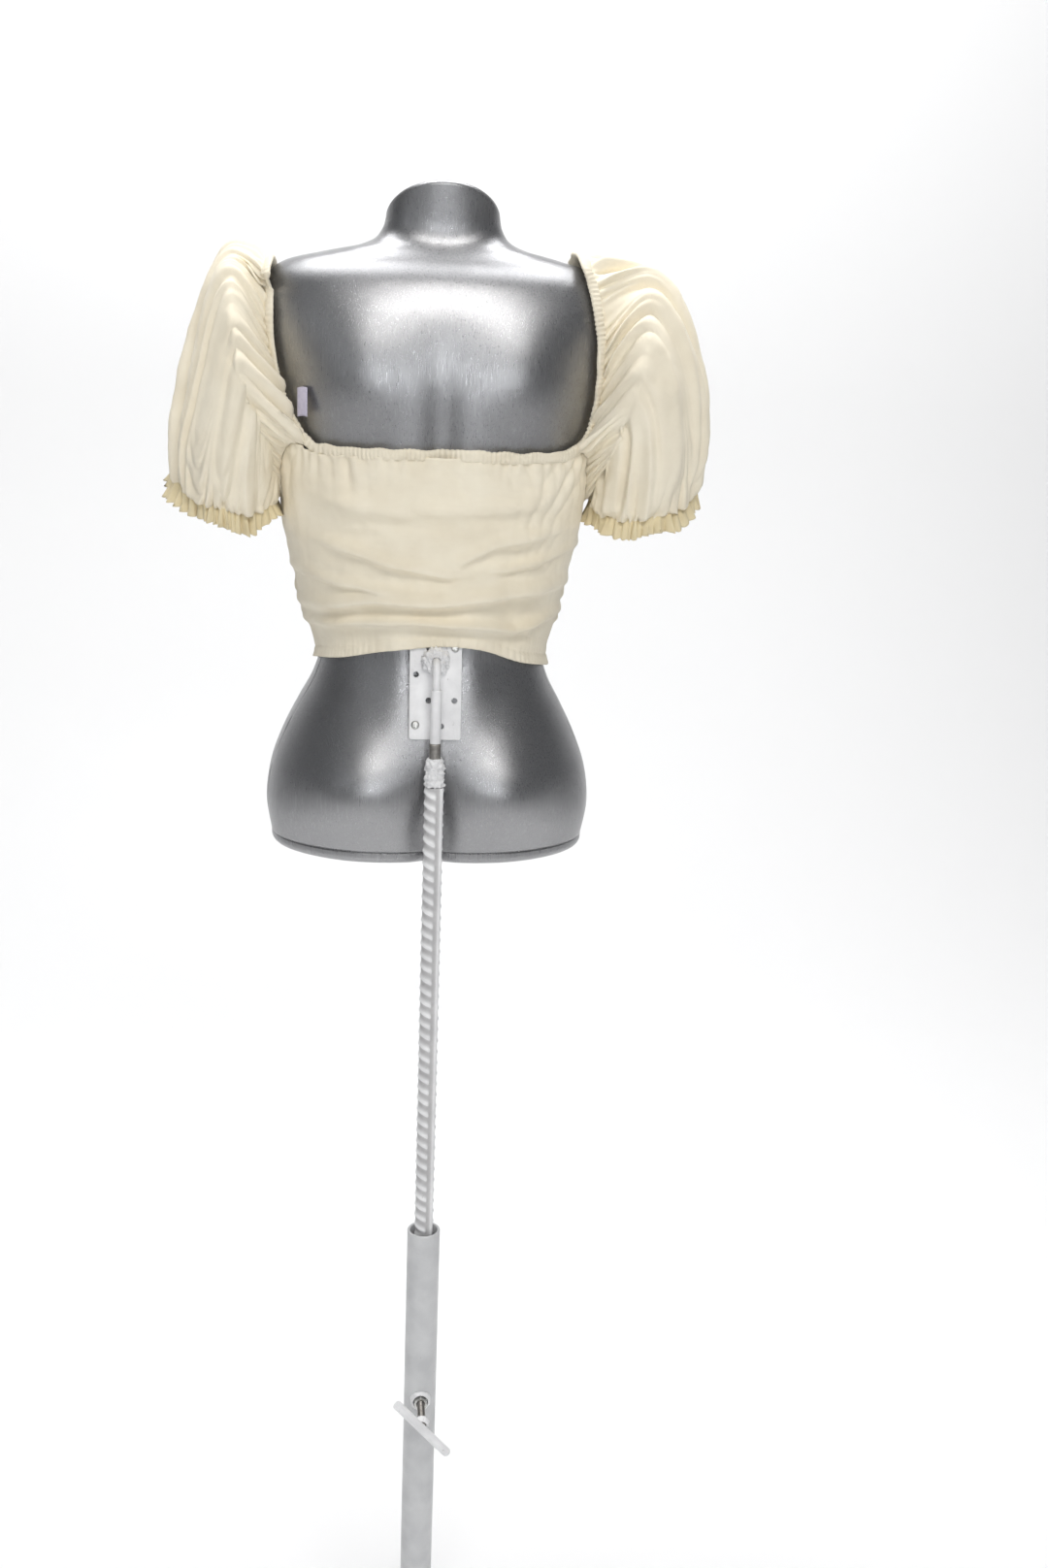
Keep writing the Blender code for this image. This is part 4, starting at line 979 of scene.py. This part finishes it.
def make_sleeve(side):
    name = "sleeve_left" if side > 0 else "sleeve_right"
    seed = 200 if side > 0 else 300
    turn = np.arange(SLEEVE_COLUMNS) * TAU / SLEEVE_COLUMNS
    keys = np.array([sleeve_root(side)] + [sleeve_ring(row, turn) for row in SLEEVE_SECTIONS[side]])
    rows = 84
    v = np.linspace(0, 1, rows)
    base = catmull(keys, v * (len(keys) - 1))
    steps = np.linalg.norm(np.diff(base, axis=0), axis=-1)
    d_root = np.concatenate([np.zeros((1, SLEEVE_COLUMNS)), np.cumsum(steps, 0)])
    d_cuff = d_root[-1:] - d_root
    t = (turn / TAU)[None, :]
    v = v[:, None]
    out = normals_of(base)
    upper = 0.35 + 0.65 * smooth_step(np.cos(turn - 0.35), -0.55, 0.15)[None, :]
    folds = root_gathers(t, d_root, seed) * upper
    folds += gathers(t, d_cuff, 44, 0.0034, 0.0140, seed + 50)
    middle = np.sin(math.pi * np.clip(v, 0, 1)) ** 0.8
    sway = wander(t, 1.2, seed + 7) + 1.8 * v + wander(t, 0.8, seed + 9) * v
    uneven = np.clip(1 + wander(t, 0.5, seed + 3), 0.2, 1.8)
    folds += 0.0026 * middle * np.sin(TAU * 5 * t + sway * 2) * uneven
    folds += middle * (0.0050 * lumps(base, 14.0, seed) + 0.0014 * lumps(base, 40.0, seed + 1))
    folds += 0.0005 * lumps(base, 130.0, seed + 2)
    if side < 0:
        # a deep fold down the back of this sleeve parts it into two lobes
        crease = 0.62 - 0.30 * v + 0.05 * np.sin(5 * v)
        near = (turn[None, :] - crease) * SLEEVE_RADIUS
        run = smooth_step(v, 0.02, 0.18) * (1 - 0.45 * smooth_step(v, 0.8, 1.0))
        folds += run * (-0.0095 * np.exp(-(near / 0.0050) ** 2)
                        + 0.0055 * np.exp(-((near - 0.013) / 0.0085) ** 2)
                        + 0.0045 * np.exp(-((near + 0.014) / 0.0100) ** 2))
    else:
        crease = 0.30 + 0.25 * v
        near = (turn[None, :] - crease) * SLEEVE_RADIUS
        run = smooth_step(v, 0.30, 0.5) * (1 - 0.3 * smooth_step(v, 0.85, 1.0))
        folds += run * (-0.0050 * np.exp(-(near / 0.0040) ** 2)
                        + 0.0040 * np.exp(-((near + 0.010) / 0.0070) ** 2))
    folds += 0.0016 * (1 - np.exp(-d_cuff / 0.010)) - 0.0016
    points = base + out * folds[..., None]
    # the cloth slumps a little over the cuff's elastic
    slump = np.exp(-((d_cuff - 0.012) / 0.010) ** 2) * smooth_step(v, 0.4, 0.8)
    points[..., 2] -= 0.0045 * slump * (1 + wander(t, 0.6, seed + 20))
    points = keep_clear(points, 0.0030)
    points = points * (side, 1, 1)
    sleeve = piece(name + "_cloth", skin(points), COTTON, "torso", [name], 180, True)
    thicken(sleeve, 0.0012)
    ruffle = make_ruffle(name, points[-1] * (side, 1, 1), side, seed)


def make_ruffle(name, cuff, side, seed):
    """The free edge below the cuff's elastic, which stands out in waves."""
    count, rows, length = 420, 14, 0.021
    cuff = resampled(cuff, count, closed=True)
    middle = cuff.mean(axis=0)
    out = (cuff - middle) * (1, 1, 0)
    out /= np.linalg.norm(out, axis=1, keepdims=True)
    t = np.arange(count) / count
    v = np.linspace(0, 1, rows)[:, None]
    flare = 0.30 + wander(t, 0.14, seed + 60)[None]
    d = v * length * (1 + wander(t, 0.10, seed + 61)[None])
    phase = TAU * 27 * t + wander(t, 3.2, seed + 62)
    uneven = np.clip(1 + wander(t, 0.45, seed + 63, 15), 0.35, 1.7)[None]
    swing = 0.0030 * v ** 0.9 * np.sin(phase)[None] * uneven
    tight = 0.0013 * np.exp(-d / 0.006) * pleat(TAU * 52 * t + wander(t, 3.0, seed + 64))[None]
    along = np.roll(out, -3, 0) - np.roll(out, 3, 0)
    along /= np.linalg.norm(along, axis=1, keepdims=True)
    lean = 0.0016 * v * np.sin(2 * phase + 0.8)[None]
    stand = d * flare + swing + tight - 0.0006
    points = cuff[None] + out[None] * stand[..., None] + along[None] * lean[..., None]
    points[..., 2] -= d * np.sqrt(np.maximum(0.2, 1 - flare ** 2)) * 0.92 - 0.0022
    points += (lumps(points, 90.0, seed) * 0.0006)[..., None] * out[None]
    points = keep_clear(points, 0.0030) * (side, 1, 1)
    ruffle = piece(name + "_ruffle", skin(points), RUFFLE_COTTON_PAINTED_BACKLIGHT, "torso", (), 180, True)
    thicken(ruffle, 0.0010)
    return ruffle


for SIDE in (1, -1):
    make_sleeve(SIDE)


def make_tag():
    """A blank tape tag inside the neckline, sewn in at its top."""
    low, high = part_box("garment_tag")
    rows, count = 16, 9
    v = np.linspace(0, 1, rows)[:, None]
    w = np.linspace(0, 1, count)[None, :]
    x = low.x + (high.x - low.x) * w + 0 * v
    y = high.y + (low.y - high.y) * w + 0.0012 * np.sin(3.0 * v) - 0.0006
    z = low.z + (high.z - low.z) * v + 0.0006 * np.sin(4 * w)
    points = np.stack(np.broadcast_arrays(x, y, z), -1)
    tag = piece("neckline_tag", skin(points, closed=False), TAG_TAPE, "torso", ["garment_tag"],
                180)
    thicken(tag, 0.0006)


make_tag()


# ---------------------------------------------------------------- back plate, screws and pin

PLATE_SIZE = (0.050, 0.120, 0.0025)
HOLE_RADIUS = 0.00275


def plate_matrix():
    """The middle of the plate's outer face, with +Z out of it and +Y up along it."""
    low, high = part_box("mount_plate")
    deep = high.y - low.y
    length, thick = PLATE_SIZE[1:]
    tilt = math.asin((deep - thick * math.cos(0.1)) / length)
    outward = Vector((0, math.cos(tilt), math.sin(tilt)))
    up = Vector((0, -math.sin(tilt), math.cos(tilt)))
    middle = Vector((0, (low.y + high.y) / 2, (low.z + high.z) / 2)) + outward * thick / 2
    place = Matrix((Vector((-1, 0, 0)), up, outward)).transposed().to_4x4()
    place.translation = middle
    return place


PLATE = plate_matrix()
# The holes, as rows from the plate's foot and distances from its centre line
HOLES = ((0, 0.0188), (0, -0.0060), (1, 0.0064), (1, -0.0184), (2, 0.0188), (3, 0.0064), (3, -0.0184),
         (4, 0.0188), (4, -0.0060))
PITCH, FIRST_ROW = 0.0248, 0.013


def make_plate():
    """The perforated steel plate, with its edges and holes softened by paint."""
    width, length, thick = PLATE_SIZE
    bm = bmesh.new()
    bmesh.ops.create_cube(bm, size=1.0)
    bmesh.ops.scale(bm, vec=(width, length, thick), verts=bm.verts)
    bmesh.ops.translate(bm, vec=(0, 0, -thick / 2), verts=bm.verts)
    upright = [e for e in bm.edges if abs((e.verts[0].co - e.verts[1].co).z) > thick / 2]
    bmesh.ops.bevel(bm, geom=upright, offset=0.0022, affect="EDGES", segments=4, profile=0.5, material=-1)
    tool = bmesh.new()
    for row, x in HOLES:
        spot = Matrix.Translation((-x, FIRST_ROW + row * PITCH - length / 2, 0))
        bmesh.ops.create_cone(tool, cap_ends=True, segments=32, radius1=HOLE_RADIUS, radius2=HOLE_RADIUS,
                              depth=8 * thick, matrix=spot)
    plate = piece("perforated_plate", moved(carve(bm, tool), PLATE), WHITE, "torso", ["mount_plate"],
                  30)
    edge = plate.modifiers.new("soft edges", "BEVEL")
    edge.width, edge.segments = 0.0006, 2
    edge.limit_method, edge.angle_limit = "ANGLE", math.radians(50)


def weld_ring(bore, profile, foot, seed, size, steps=72):
    """A lumpy bead round a rod, with a clean bore and a flat foot."""
    fine = profile[:1]
    for a, b in zip(profile, profile[1:]):
        parts = max(1, round(math.dist(a, b) / 0.0006))
        for k in range(1, parts + 1):
            fine.append((a[0] + (b[0] - a[0]) * k / parts, a[1] + (b[1] - a[1]) * k / parts))
    bm = turned(fine, steps)
    bm.normal_update()
    pushes = []
    for vert in bm.verts:
        reach = math.hypot(vert.co.x, vert.co.y)
        spot = vert.co * 310 + Vector((seed, 0, 0))
        push = noise.noise(spot) + 0.55 * noise.noise(spot * 2.2) + 0.30 * abs(noise.noise(spot * 4.7))
        free = max(0.0, min(1.0, (reach - bore - 0.0003) / 0.0016))
        pushes.append(vert.normal * size * push * free)
    for vert, push in zip(bm.verts, pushes):
        lowest = vert.co.z if vert.co.z < 0.0004 else 0.0004
        vert.co += push
        vert.co.z = max(lowest, vert.co.z)
    bmesh.ops.translate(bm, vec=(0, 0, foot), verts=bm.verts)
    return bm


def make_screw(number):
    """A pan-head screw with a crossed recess, seated in one of the plate's holes."""
    low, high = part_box(f"plate_screw_{number}")
    head, rise, shank, length = 0.0041, 0.0024, 0.0021, 0.020
    profile = [(0, rise), (0.4 * head, rise * 0.98), (0.75 * head, rise * 0.82), (0.93 * head, rise * 0.5),
               (head, rise * 0.15), (head, 0), (shank, 0), (shank, -length * 0.8), (0, -length)]
    bm = turned(profile, 32, loop=False)
    for angle in (0.35, 0.35 + math.pi / 2):
        tool = bmesh.new()
        spot = Matrix.Translation((0, 0, rise)) @ Matrix.Rotation(angle, 4, "Z")
        bmesh.ops.create_cube(tool, size=1.0, matrix=spot @ Matrix.Diagonal((1.2 * head, 0.0012, 0.0034, 1)))
        bm = carve(bm, tool)
    local = PLATE.inverted() @ ((low + high) / 2)
    spot = PLATE @ Matrix.Translation((local.x, local.y, GAP))
    piece(f"cross_screw_{number}", moved(bm, spot), ZINC, "torso", [f"plate_screw_{number}"],
          30)


def make_pin():
    """The bent pin that carries the torso, and the weld at its root."""
    pin_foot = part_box("pivot_pin")[0].z
    weld_low, weld_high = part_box("pin_weld")
    radius, bend = 0.0037, 0.009
    centre = PLATE.inverted() @ ((weld_low + weld_high) / 2)
    root = PLATE @ Vector((centre.x, centre.y, GAP))
    outward = (PLATE.to_3x3() @ Vector((0, 0, 1))).normalized()
    corner = root + outward * (-root.y / outward.y)
    angle = math.acos(outward.dot(Vector((0, 0, -1))))
    start = corner - outward * bend * math.tan(angle / 2)
    middle = start + Vector((0, outward.z, -outward.y)) * bend
    path = [root, root.lerp(start, 0.5)]
    path += [middle + Matrix.Rotation(-angle * k / 12, 3, "X") @ (start - middle) for k in range(13)]
    end = Vector((0, 0, pin_foot))
    path += [path[-1].lerp(end, f) for f in (0.3, 0.6, 0.9, 0.985, 1.0)]
    radii = [radius] * (len(path) - 1) + [radius * 0.85]
    piece("bent_pin", sweep(path, radii), WHITE, "torso", ["pivot_pin"])
    weld, rise = 0.0133, 0.0105
    bore = radius + GAP
    profile = [(bore, 0.0002), (0.96 * weld, 0.0002), (weld, 0.0014), (0.99 * weld, 0.0034),
               (0.92 * weld, 0.0062), (0.78 * weld, 0.0088), (0.58 * weld, rise),
               (bore + 0.0006, rise * 1.02), (bore, rise * 0.98)]
    spot = PLATE @ Matrix.Translation((centre.x, centre.y, GAP))
    bead = weld_ring(bore, profile, 0.0, 11.0, 0.0030)
    piece("pin_weld_bead", moved(bead, spot), WHITE, "torso", ["pin_weld"], 180)


make_plate()
for NUMBER in (1, 2, 3):
    make_screw(NUMBER)
make_pin()


# ---------------------------------------------------------------- socket, spigot and ribbed bar

def make_socket():
    low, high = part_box("socket_tube")
    radius, bore = 0.0052, 0.0040
    profile = rounded([(bore, 0), (radius, 0), (radius, high.z - low.z), (bore, high.z - low.z)], 0.0006)
    bm = turned(profile, 48)
    bmesh.ops.subdivide_edges(bm, edges=[e for e in bm.edges if e.calc_length() > 0.01], cuts=24)
    for vert in bm.verts:
        reach = math.hypot(vert.co.x, vert.co.y)
        if reach > 0.0046:
            push = 0.00022 * noise.noise(vert.co * 120 + Vector((3, 0, 0)))
            vert.co.x += vert.co.x / reach * push
            vert.co.y += vert.co.y / reach * push
    bmesh.ops.translate(bm, vec=(0, 0, low.z), verts=bm.verts)
    piece("pin_socket", bm, WHITE, "column", ["socket_tube"])
    low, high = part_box("socket_spigot")
    radius = 0.0056
    profile = [(0, high.z), (radius - 0.0008, high.z), (radius, high.z - 0.0008), (radius, low.z),
               (0, low.z)]
    piece("bare_spigot", turned(profile, 48, loop=False), STEEL, "column", ["socket_spigot"])
    low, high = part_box("bar_weld")
    bore, wide, tall = radius + GAP, 0.0092, high.z - low.z
    profile = [(bore, 0.0), (0.95 * wide, 0.0), (wide, 0.0015), (1.0 * wide, 0.2 * tall),
               (0.985 * wide, 0.5 * tall), (0.94 * wide, 0.75 * tall), (0.84 * wide, 0.92 * tall),
               (0.74 * wide, tall), (bore, 0.99 * tall)]
    profile = rounded(profile, 0.004, 3)
    piece("bar_weld_bead", weld_ring(bore, profile, low.z, 4.0, 0.0026), WHITE, "column", ["bar_weld"],
          180)


def make_bar():
    """The reinforcing bar: two ribs along it, and short slanted ribs between them."""
    low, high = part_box("ribbed_bar")
    core, rib, pitch, slope = 0.0087, 0.0017, 0.0118, math.tan(math.radians(23))
    rows, count = 950, 72
    z = np.linspace(low.z, high.z, rows)[:, None]
    turn = (np.arange(count) * TAU / count)[None, :]
    # the angle from +Y towards -X, and how far it is from the middle of the nearest ribbed side
    angle = turn - math.pi / 2
    long_rib = math.radians(51)
    from_long = (angle - long_rib + math.pi / 2) % math.pi - math.pi / 2
    along = 1 / (1 + (np.abs(from_long) / 0.25) ** 4)
    middle = math.radians(-37)
    from_middle = (angle - middle + math.pi / 2) % math.pi - math.pi / 2
    reach = smooth_step(math.radians(52) - np.abs(from_middle), 0.0, math.radians(13))
    phase = (z + slope * core * from_middle) / pitch + 0.03 * np.sin(z * 90)
    above = ((phase + 0.5) % 1 - 0.5) * pitch
    across = np.exp(-(above / np.where(above > 0, 0.0036, 0.0017)) ** 2)
    radius = core + rib * np.maximum(0.92 * along, across * reach)
    paint = np.stack([np.cos(turn) * core * np.ones_like(z), np.sin(turn) * core * np.ones_like(z),
                      z * np.ones_like(turn)], -1)
    radius = radius + 0.00012 * lumps(paint, 260.0, 5)
    piece("reinforcing_bar", rod(radius, turn, z), BAR_PAINT, "column", ["ribbed_bar"], 60)


make_socket()
make_bar()


# ---------------------------------------------------------------- tube, clamp and base

TUBE_RADIUS = 0.01675
SCREW_HOLE = 0.0044


def make_tube():
    low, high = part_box("base_tube")
    radius, wall = TUBE_RADIUS, 0.0028
    profile = rounded([(radius - wall, low.z), (radius, low.z), (radius, high.z), (radius - wall, high.z)],
                      0.0009)
    clamp_z = clamp_height()
    bm = turned(profile, 96)
    tool = bmesh.new()
    spot = Matrix.Translation((0, radius, clamp_z)) @ Matrix.Rotation(math.pi / 2, 4, "X")
    bmesh.ops.create_cone(tool, cap_ends=True, segments=32, radius1=SCREW_HOLE, radius2=SCREW_HOLE,
                          depth=0.02, matrix=spot)
    piece("stand_tube", carve(bm, tool), TUBE_PAINT, "base", ["base_tube"], 30)
    low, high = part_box("tube_weld")
    bore = radius + GAP
    tall = high.z - low.z
    profile = [(bore, 0.0002), (bore + tall, 0.0002), (bore + 0.85 * tall, 0.3 * tall),
               (bore + 0.5 * tall, 0.65 * tall), (bore + 0.15 * tall, tall), (bore, 0.96 * tall)]
    bead = weld_ring(bore, rounded(profile, 0.001, 2), low.z, 9.0, 0.0005, 96)
    piece("tube_weld_bead", bead, TUBE_PAINT, "base", ["tube_weld"], 180)


def clamp_height():
    low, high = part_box("clamp_screw")
    return (low.z + high.z) / 2


def make_clamp():
    level = clamp_height()
    low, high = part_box("clamp_nut")
    foot, tall, flat, bore = low.y, high.y - low.y, 0.0065, 0.0043
    count = 72
    turn = np.arange(count) * TAU / count
    to_flat = (turn + math.pi / 6) % (math.pi / 3) - math.pi / 6
    hexagon = flat / np.cos(to_flat)
    chamfer = np.minimum(hexagon, flat * 1.06)
    rows = [(np.full(count, bore), 0.0), (hexagon, 0.0), (hexagon, tall - 0.0012), (chamfer, tall - 0.0001),
            (np.full(count, flat * 0.97), tall), (np.full(count, bore + 0.0004), tall),
            (np.full(count, bore), tall - 0.0004)]
    points = [np.stack([r * np.cos(turn), r * np.sin(turn), np.full(count, z)], -1) for r, z in rows]
    nut = moved(skin(np.stack(points), loop=True), along_y(0, foot, level))
    piece("hex_nut", nut, ZINC, "base", ["clamp_nut"], 25)
    make_clamp_screw(level)
    make_handle(level)
    make_nut_bead(level, foot, flat / math.cos(math.pi / 6), tall)


def make_clamp_screw(level):
    low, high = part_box("clamp_screw")
    length, radius, pitch = high.y - low.y, 0.0040, 0.00125
    rows, count = 420, 32
    z = np.linspace(0, length, rows)[:, None]
    turn = (np.arange(count) * TAU / count)[None, :]
    saw = np.abs(((z / pitch - turn / TAU) % 1) - 0.5) * 2
    worn = smooth_step(z, 0.0008, 0.003) * (1 - smooth_step(z, length - 0.010, length - 0.006))
    r = radius - 0.00055 * saw * worn - 0.0009 * (1 - smooth_step(z, 0, 0.0012))
    piece("threaded_shank", moved(rod(r, turn, z), along_y(0, low.y, level)), STEEL, "clamp_shank",
          ["clamp_screw"], 30)


def make_handle(level):
    low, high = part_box("clamp_handle")
    radius, length, tilt = 0.0046, 0.081, math.radians(48)
    reach = (low.y + high.y) / 2
    half = length / 2
    profile = [(0, half), (radius - 0.0004, half), (radius, half - 0.0004), (radius, 0.35 * half),
               (radius, -0.3 * half), (radius, -half + 0.0036), (radius * 0.93, -half + 0.0018),
               (radius * 0.70, -half + 0.0005), (radius * 0.35, -half), (0, -half)]
    bm = turned(profile, 40, loop=False)
    bmesh.ops.subdivide_edges(bm, edges=[e for e in bm.edges if e.calc_length() > 0.008], cuts=16)
    lumpy(bm, 0.00022, 110.0, 2.0)
    spot = Matrix.Translation((0, reach, level)) @ Matrix.Rotation(math.pi / 2 - tilt, 4, "Y")
    piece("tee_bar", moved(bm, spot), WHITE, "clamp_grip", ["clamp_handle"])
    low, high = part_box("handle_weld")
    bore, wide, tall = 0.0043, 0.0078, high.y - low.y
    profile = [(bore, 0), (0.72 * wide, 0.0), (0.92 * wide, 0.2 * tall), (wide, 0.5 * tall),
               (0.92 * wide, 0.82 * tall), (0.68 * wide, tall), (bore, tall)]
    bead = weld_ring(bore, rounded(profile, 0.002, 3), 0.0, 6.0, 0.0010, 48)
    piece("tee_weld_bead", moved(bead, along_y(0, low.y, level)), WHITE, "clamp_grip", ["handle_weld"],
          180)


def make_nut_bead(level, foot, corner, tall):
    """A bead round the foot of the nut, which follows the tube's wall."""
    inner, wide, tube = corner + GAP, 0.0032, TUBE_RADIUS + GAP
    count = 72
    turn = np.arange(count) * TAU / count
    rows = []
    # radius, height and how it meets the tube: free, close over it, or on it
    profile = ((inner, 0.5 * tall, 0), (inner + 0.25 * wide, 0.52 * tall, 0),
               (inner + 0.65 * wide, 0.34 * tall, 0), (inner + 0.95 * wide, 0.10 * tall, 1),
               (inner + wide, 0.0, 2), (inner, 0.0, 2))
    for r, z, seat in profile:
        x, up = r * np.cos(turn), r * np.sin(turn)
        wall = np.sqrt(np.maximum(0, tube ** 2 - x ** 2)) - foot
        height = {0: np.full(count, z), 1: wall + 0.0009, 2: wall}[seat]
        height = np.maximum(height, wall)
        rough = 0.0006 * np.array([noise.noise((a, b, z * 300)) for a, b in zip(x * 260, up * 260)])
        rows.append(np.stack([x + (0 if r == inner else 1) * rough * np.cos(turn),
                              up + (0 if r == inner else 1) * rough * np.sin(turn),
                              height + (rough if seat == 0 else 0)], -1))
    bead = moved(skin(np.array(rows), loop=True), along_y(0, foot, level))
    piece("nut_weld_bead", bead, WHITE, "base", ["nut_weld"], 180)


OUTER_CORNER, INNER_CORNER = 0.0035, 0.0018
BEAM_WALL = 0.002
PLUG_STEP = 0.005       # how much narrower a plug is inside its tube


def rounded_box_ring(width, height, radius):
    """Points round a rectangle with rounded corners."""
    corner = [(width / 2, height / 2), (-width / 2, height / 2), (-width / 2, -height / 2),
              (width / 2, -height / 2)]
    return np.array(rounded(corner, radius, 6))


def box_rows(rings, axis, low, high):
    """Rings across an axis (0 for X, 1 for Y), each at its place along it, as rows of points."""
    other = 1 - axis
    rows = []
    for ring, at in rings:
        row = np.zeros((len(ring), 3))
        row[:, axis] = at
        row[:, other] = ring[:, 0] + (low[other] + high[other]) / 2
        row[:, 2] = ring[:, 1] + (low.z + high.z) / 2
        rows.append(row)
    return np.array(rows)


def make_beam(name, node_name, axis):
    """A rectangular steel tube with rolled corners."""
    low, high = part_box(node_name)
    start, end = low[axis], high[axis]
    width, height = high[1 - axis] - low[1 - axis], high.z - low.z
    outer = rounded_box_ring(width, height, OUTER_CORNER)
    inner = rounded_box_ring(width - 2 * BEAM_WALL, height - 2 * BEAM_WALL, INNER_CORNER)
    rows = box_rows(((inner, start), (outer, start), (outer, end), (inner, end)), axis, low, high)
    piece(name, skin(rows, loop=True), TUBE_PAINT, "base", [node_name], 35)


def make_plug(name, node_name, axis, sign):
    """A plastic end plug with a flange and softened edges."""
    low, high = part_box(node_name)
    width, height = high[1 - axis] - low[1 - axis], high.z - low.z
    outer_face, inner_face = (high[axis], low[axis]) if sign > 0 else (low[axis], high[axis])
    flange = rounded_box_ring(width, height, OUTER_CORNER)
    small = rounded_box_ring(width - PLUG_STEP, height - PLUG_STEP, INNER_CORNER)
    rim = outer_face - sign * 0.003
    rings = ((small * 0.0, inner_face), (small * 0.97, inner_face), (small, inner_face + sign * 0.0006),
             (small, rim), (flange, rim), (flange, outer_face - sign * 0.0008), (flange * 0.985, outer_face),
             (flange * 0.0, outer_face))
    piece(name, skin(box_rows(rings, axis, low, high)), PLASTIC, "base", [node_name], 35)


def make_base():
    make_tube()
    make_clamp()
    make_beam("floor_beam", "base_beam", 1)
    make_beam("floor_arm_left", "base_arm_left", 0)
    make_beam("floor_arm_right", "base_arm_right", 0)
    for name, axis, sign in (("left", 0, 1), ("back", 1, 1), ("right", 0, -1), ("front", 1, -1)):
        make_plug("plastic_plug_" + name, "end_plug_" + name, axis, sign)
    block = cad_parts["backing_block"]
    for slot in block.material_slots:
        slot.material = PLYWOOD


make_base()


# ---------------------------------------------------------------- studio

def make_studio():
    mat, _, shader = material("studio_paper", Roughness=0.9, Specular_IOR_Level=0.2)
    shader.inputs["Base Color"].default_value = (0.90, 0.90, 0.90, 1)
    reach, back, bend = 7.0, -3.2, 1.4
    line = [(reach, 0.0), (0.0, 0.0), (back + bend, 0.0)]
    for angle in np.linspace(0.1, math.pi / 2, 14):
        line.append((back + bend - bend * math.sin(angle), bend * (1 - math.cos(angle))))
    line.append((back, 6.0))
    rows = np.array([[(x, y, z - 0.0005) for x in np.linspace(-reach, reach, 3)] for y, z in line])
    bm = skin(rows, closed=False)
    data = bpy.data.meshes.new("studio_sweep")
    bm.to_mesh(data)
    bm.free()
    data.shade_smooth()
    data.materials.append(mat)
    placed("studio_sweep", data)
    world = bpy.data.worlds.new("studio")
    world.use_nodes = True
    world.node_tree.nodes["Background"].inputs[0].default_value = (0.92, 0.94, 1.0, 1)
    world.node_tree.nodes["Background"].inputs[1].default_value = 0.13
    bpy.context.scene.world = world
    bpy.context.scene.view_settings.view_transform = "Standard"


def make_light(name, place, aim, size, power, colour=(1.0, 1.0, 1.0)):
    data = bpy.data.lights.new(name, "AREA")
    data.shape = "RECTANGLE"
    data.size, data.size_y = size
    data.energy, data.color = power, colour
    light = placed(name, data)
    light.location = place
    light.rotation_euler = (Vector(aim) - Vector(place)).to_track_quat("-Z", "Y").to_euler()


make_studio()
make_light("key_light", (-0.2, 2.5, 3.3), (0, 0, 1.35), (1.9, 0.7), 46, (1.0, 0.985, 0.96))
make_light("window_light", (-0.1, 3.1, 1.50), (0, 0, 1.25), (1.9, 0.18), 20, (0.97, 0.985, 1.0))
make_light("fill_light", (2.2, 1.9, 1.9), (0, 0, 1.2), (0.6, 1.6), 3, (0.96, 0.98, 1.0))
make_light("top_light", (0.0, 0.1, 3.4), (0, -0.05, 1.4), (1.0, 1.0), 9)
make_light("paper_light", (0.0, -0.6, 4.6), (0, -2.6, 0.4), (4.0, 1.5), 160)

bpy.context.view_layer.update()
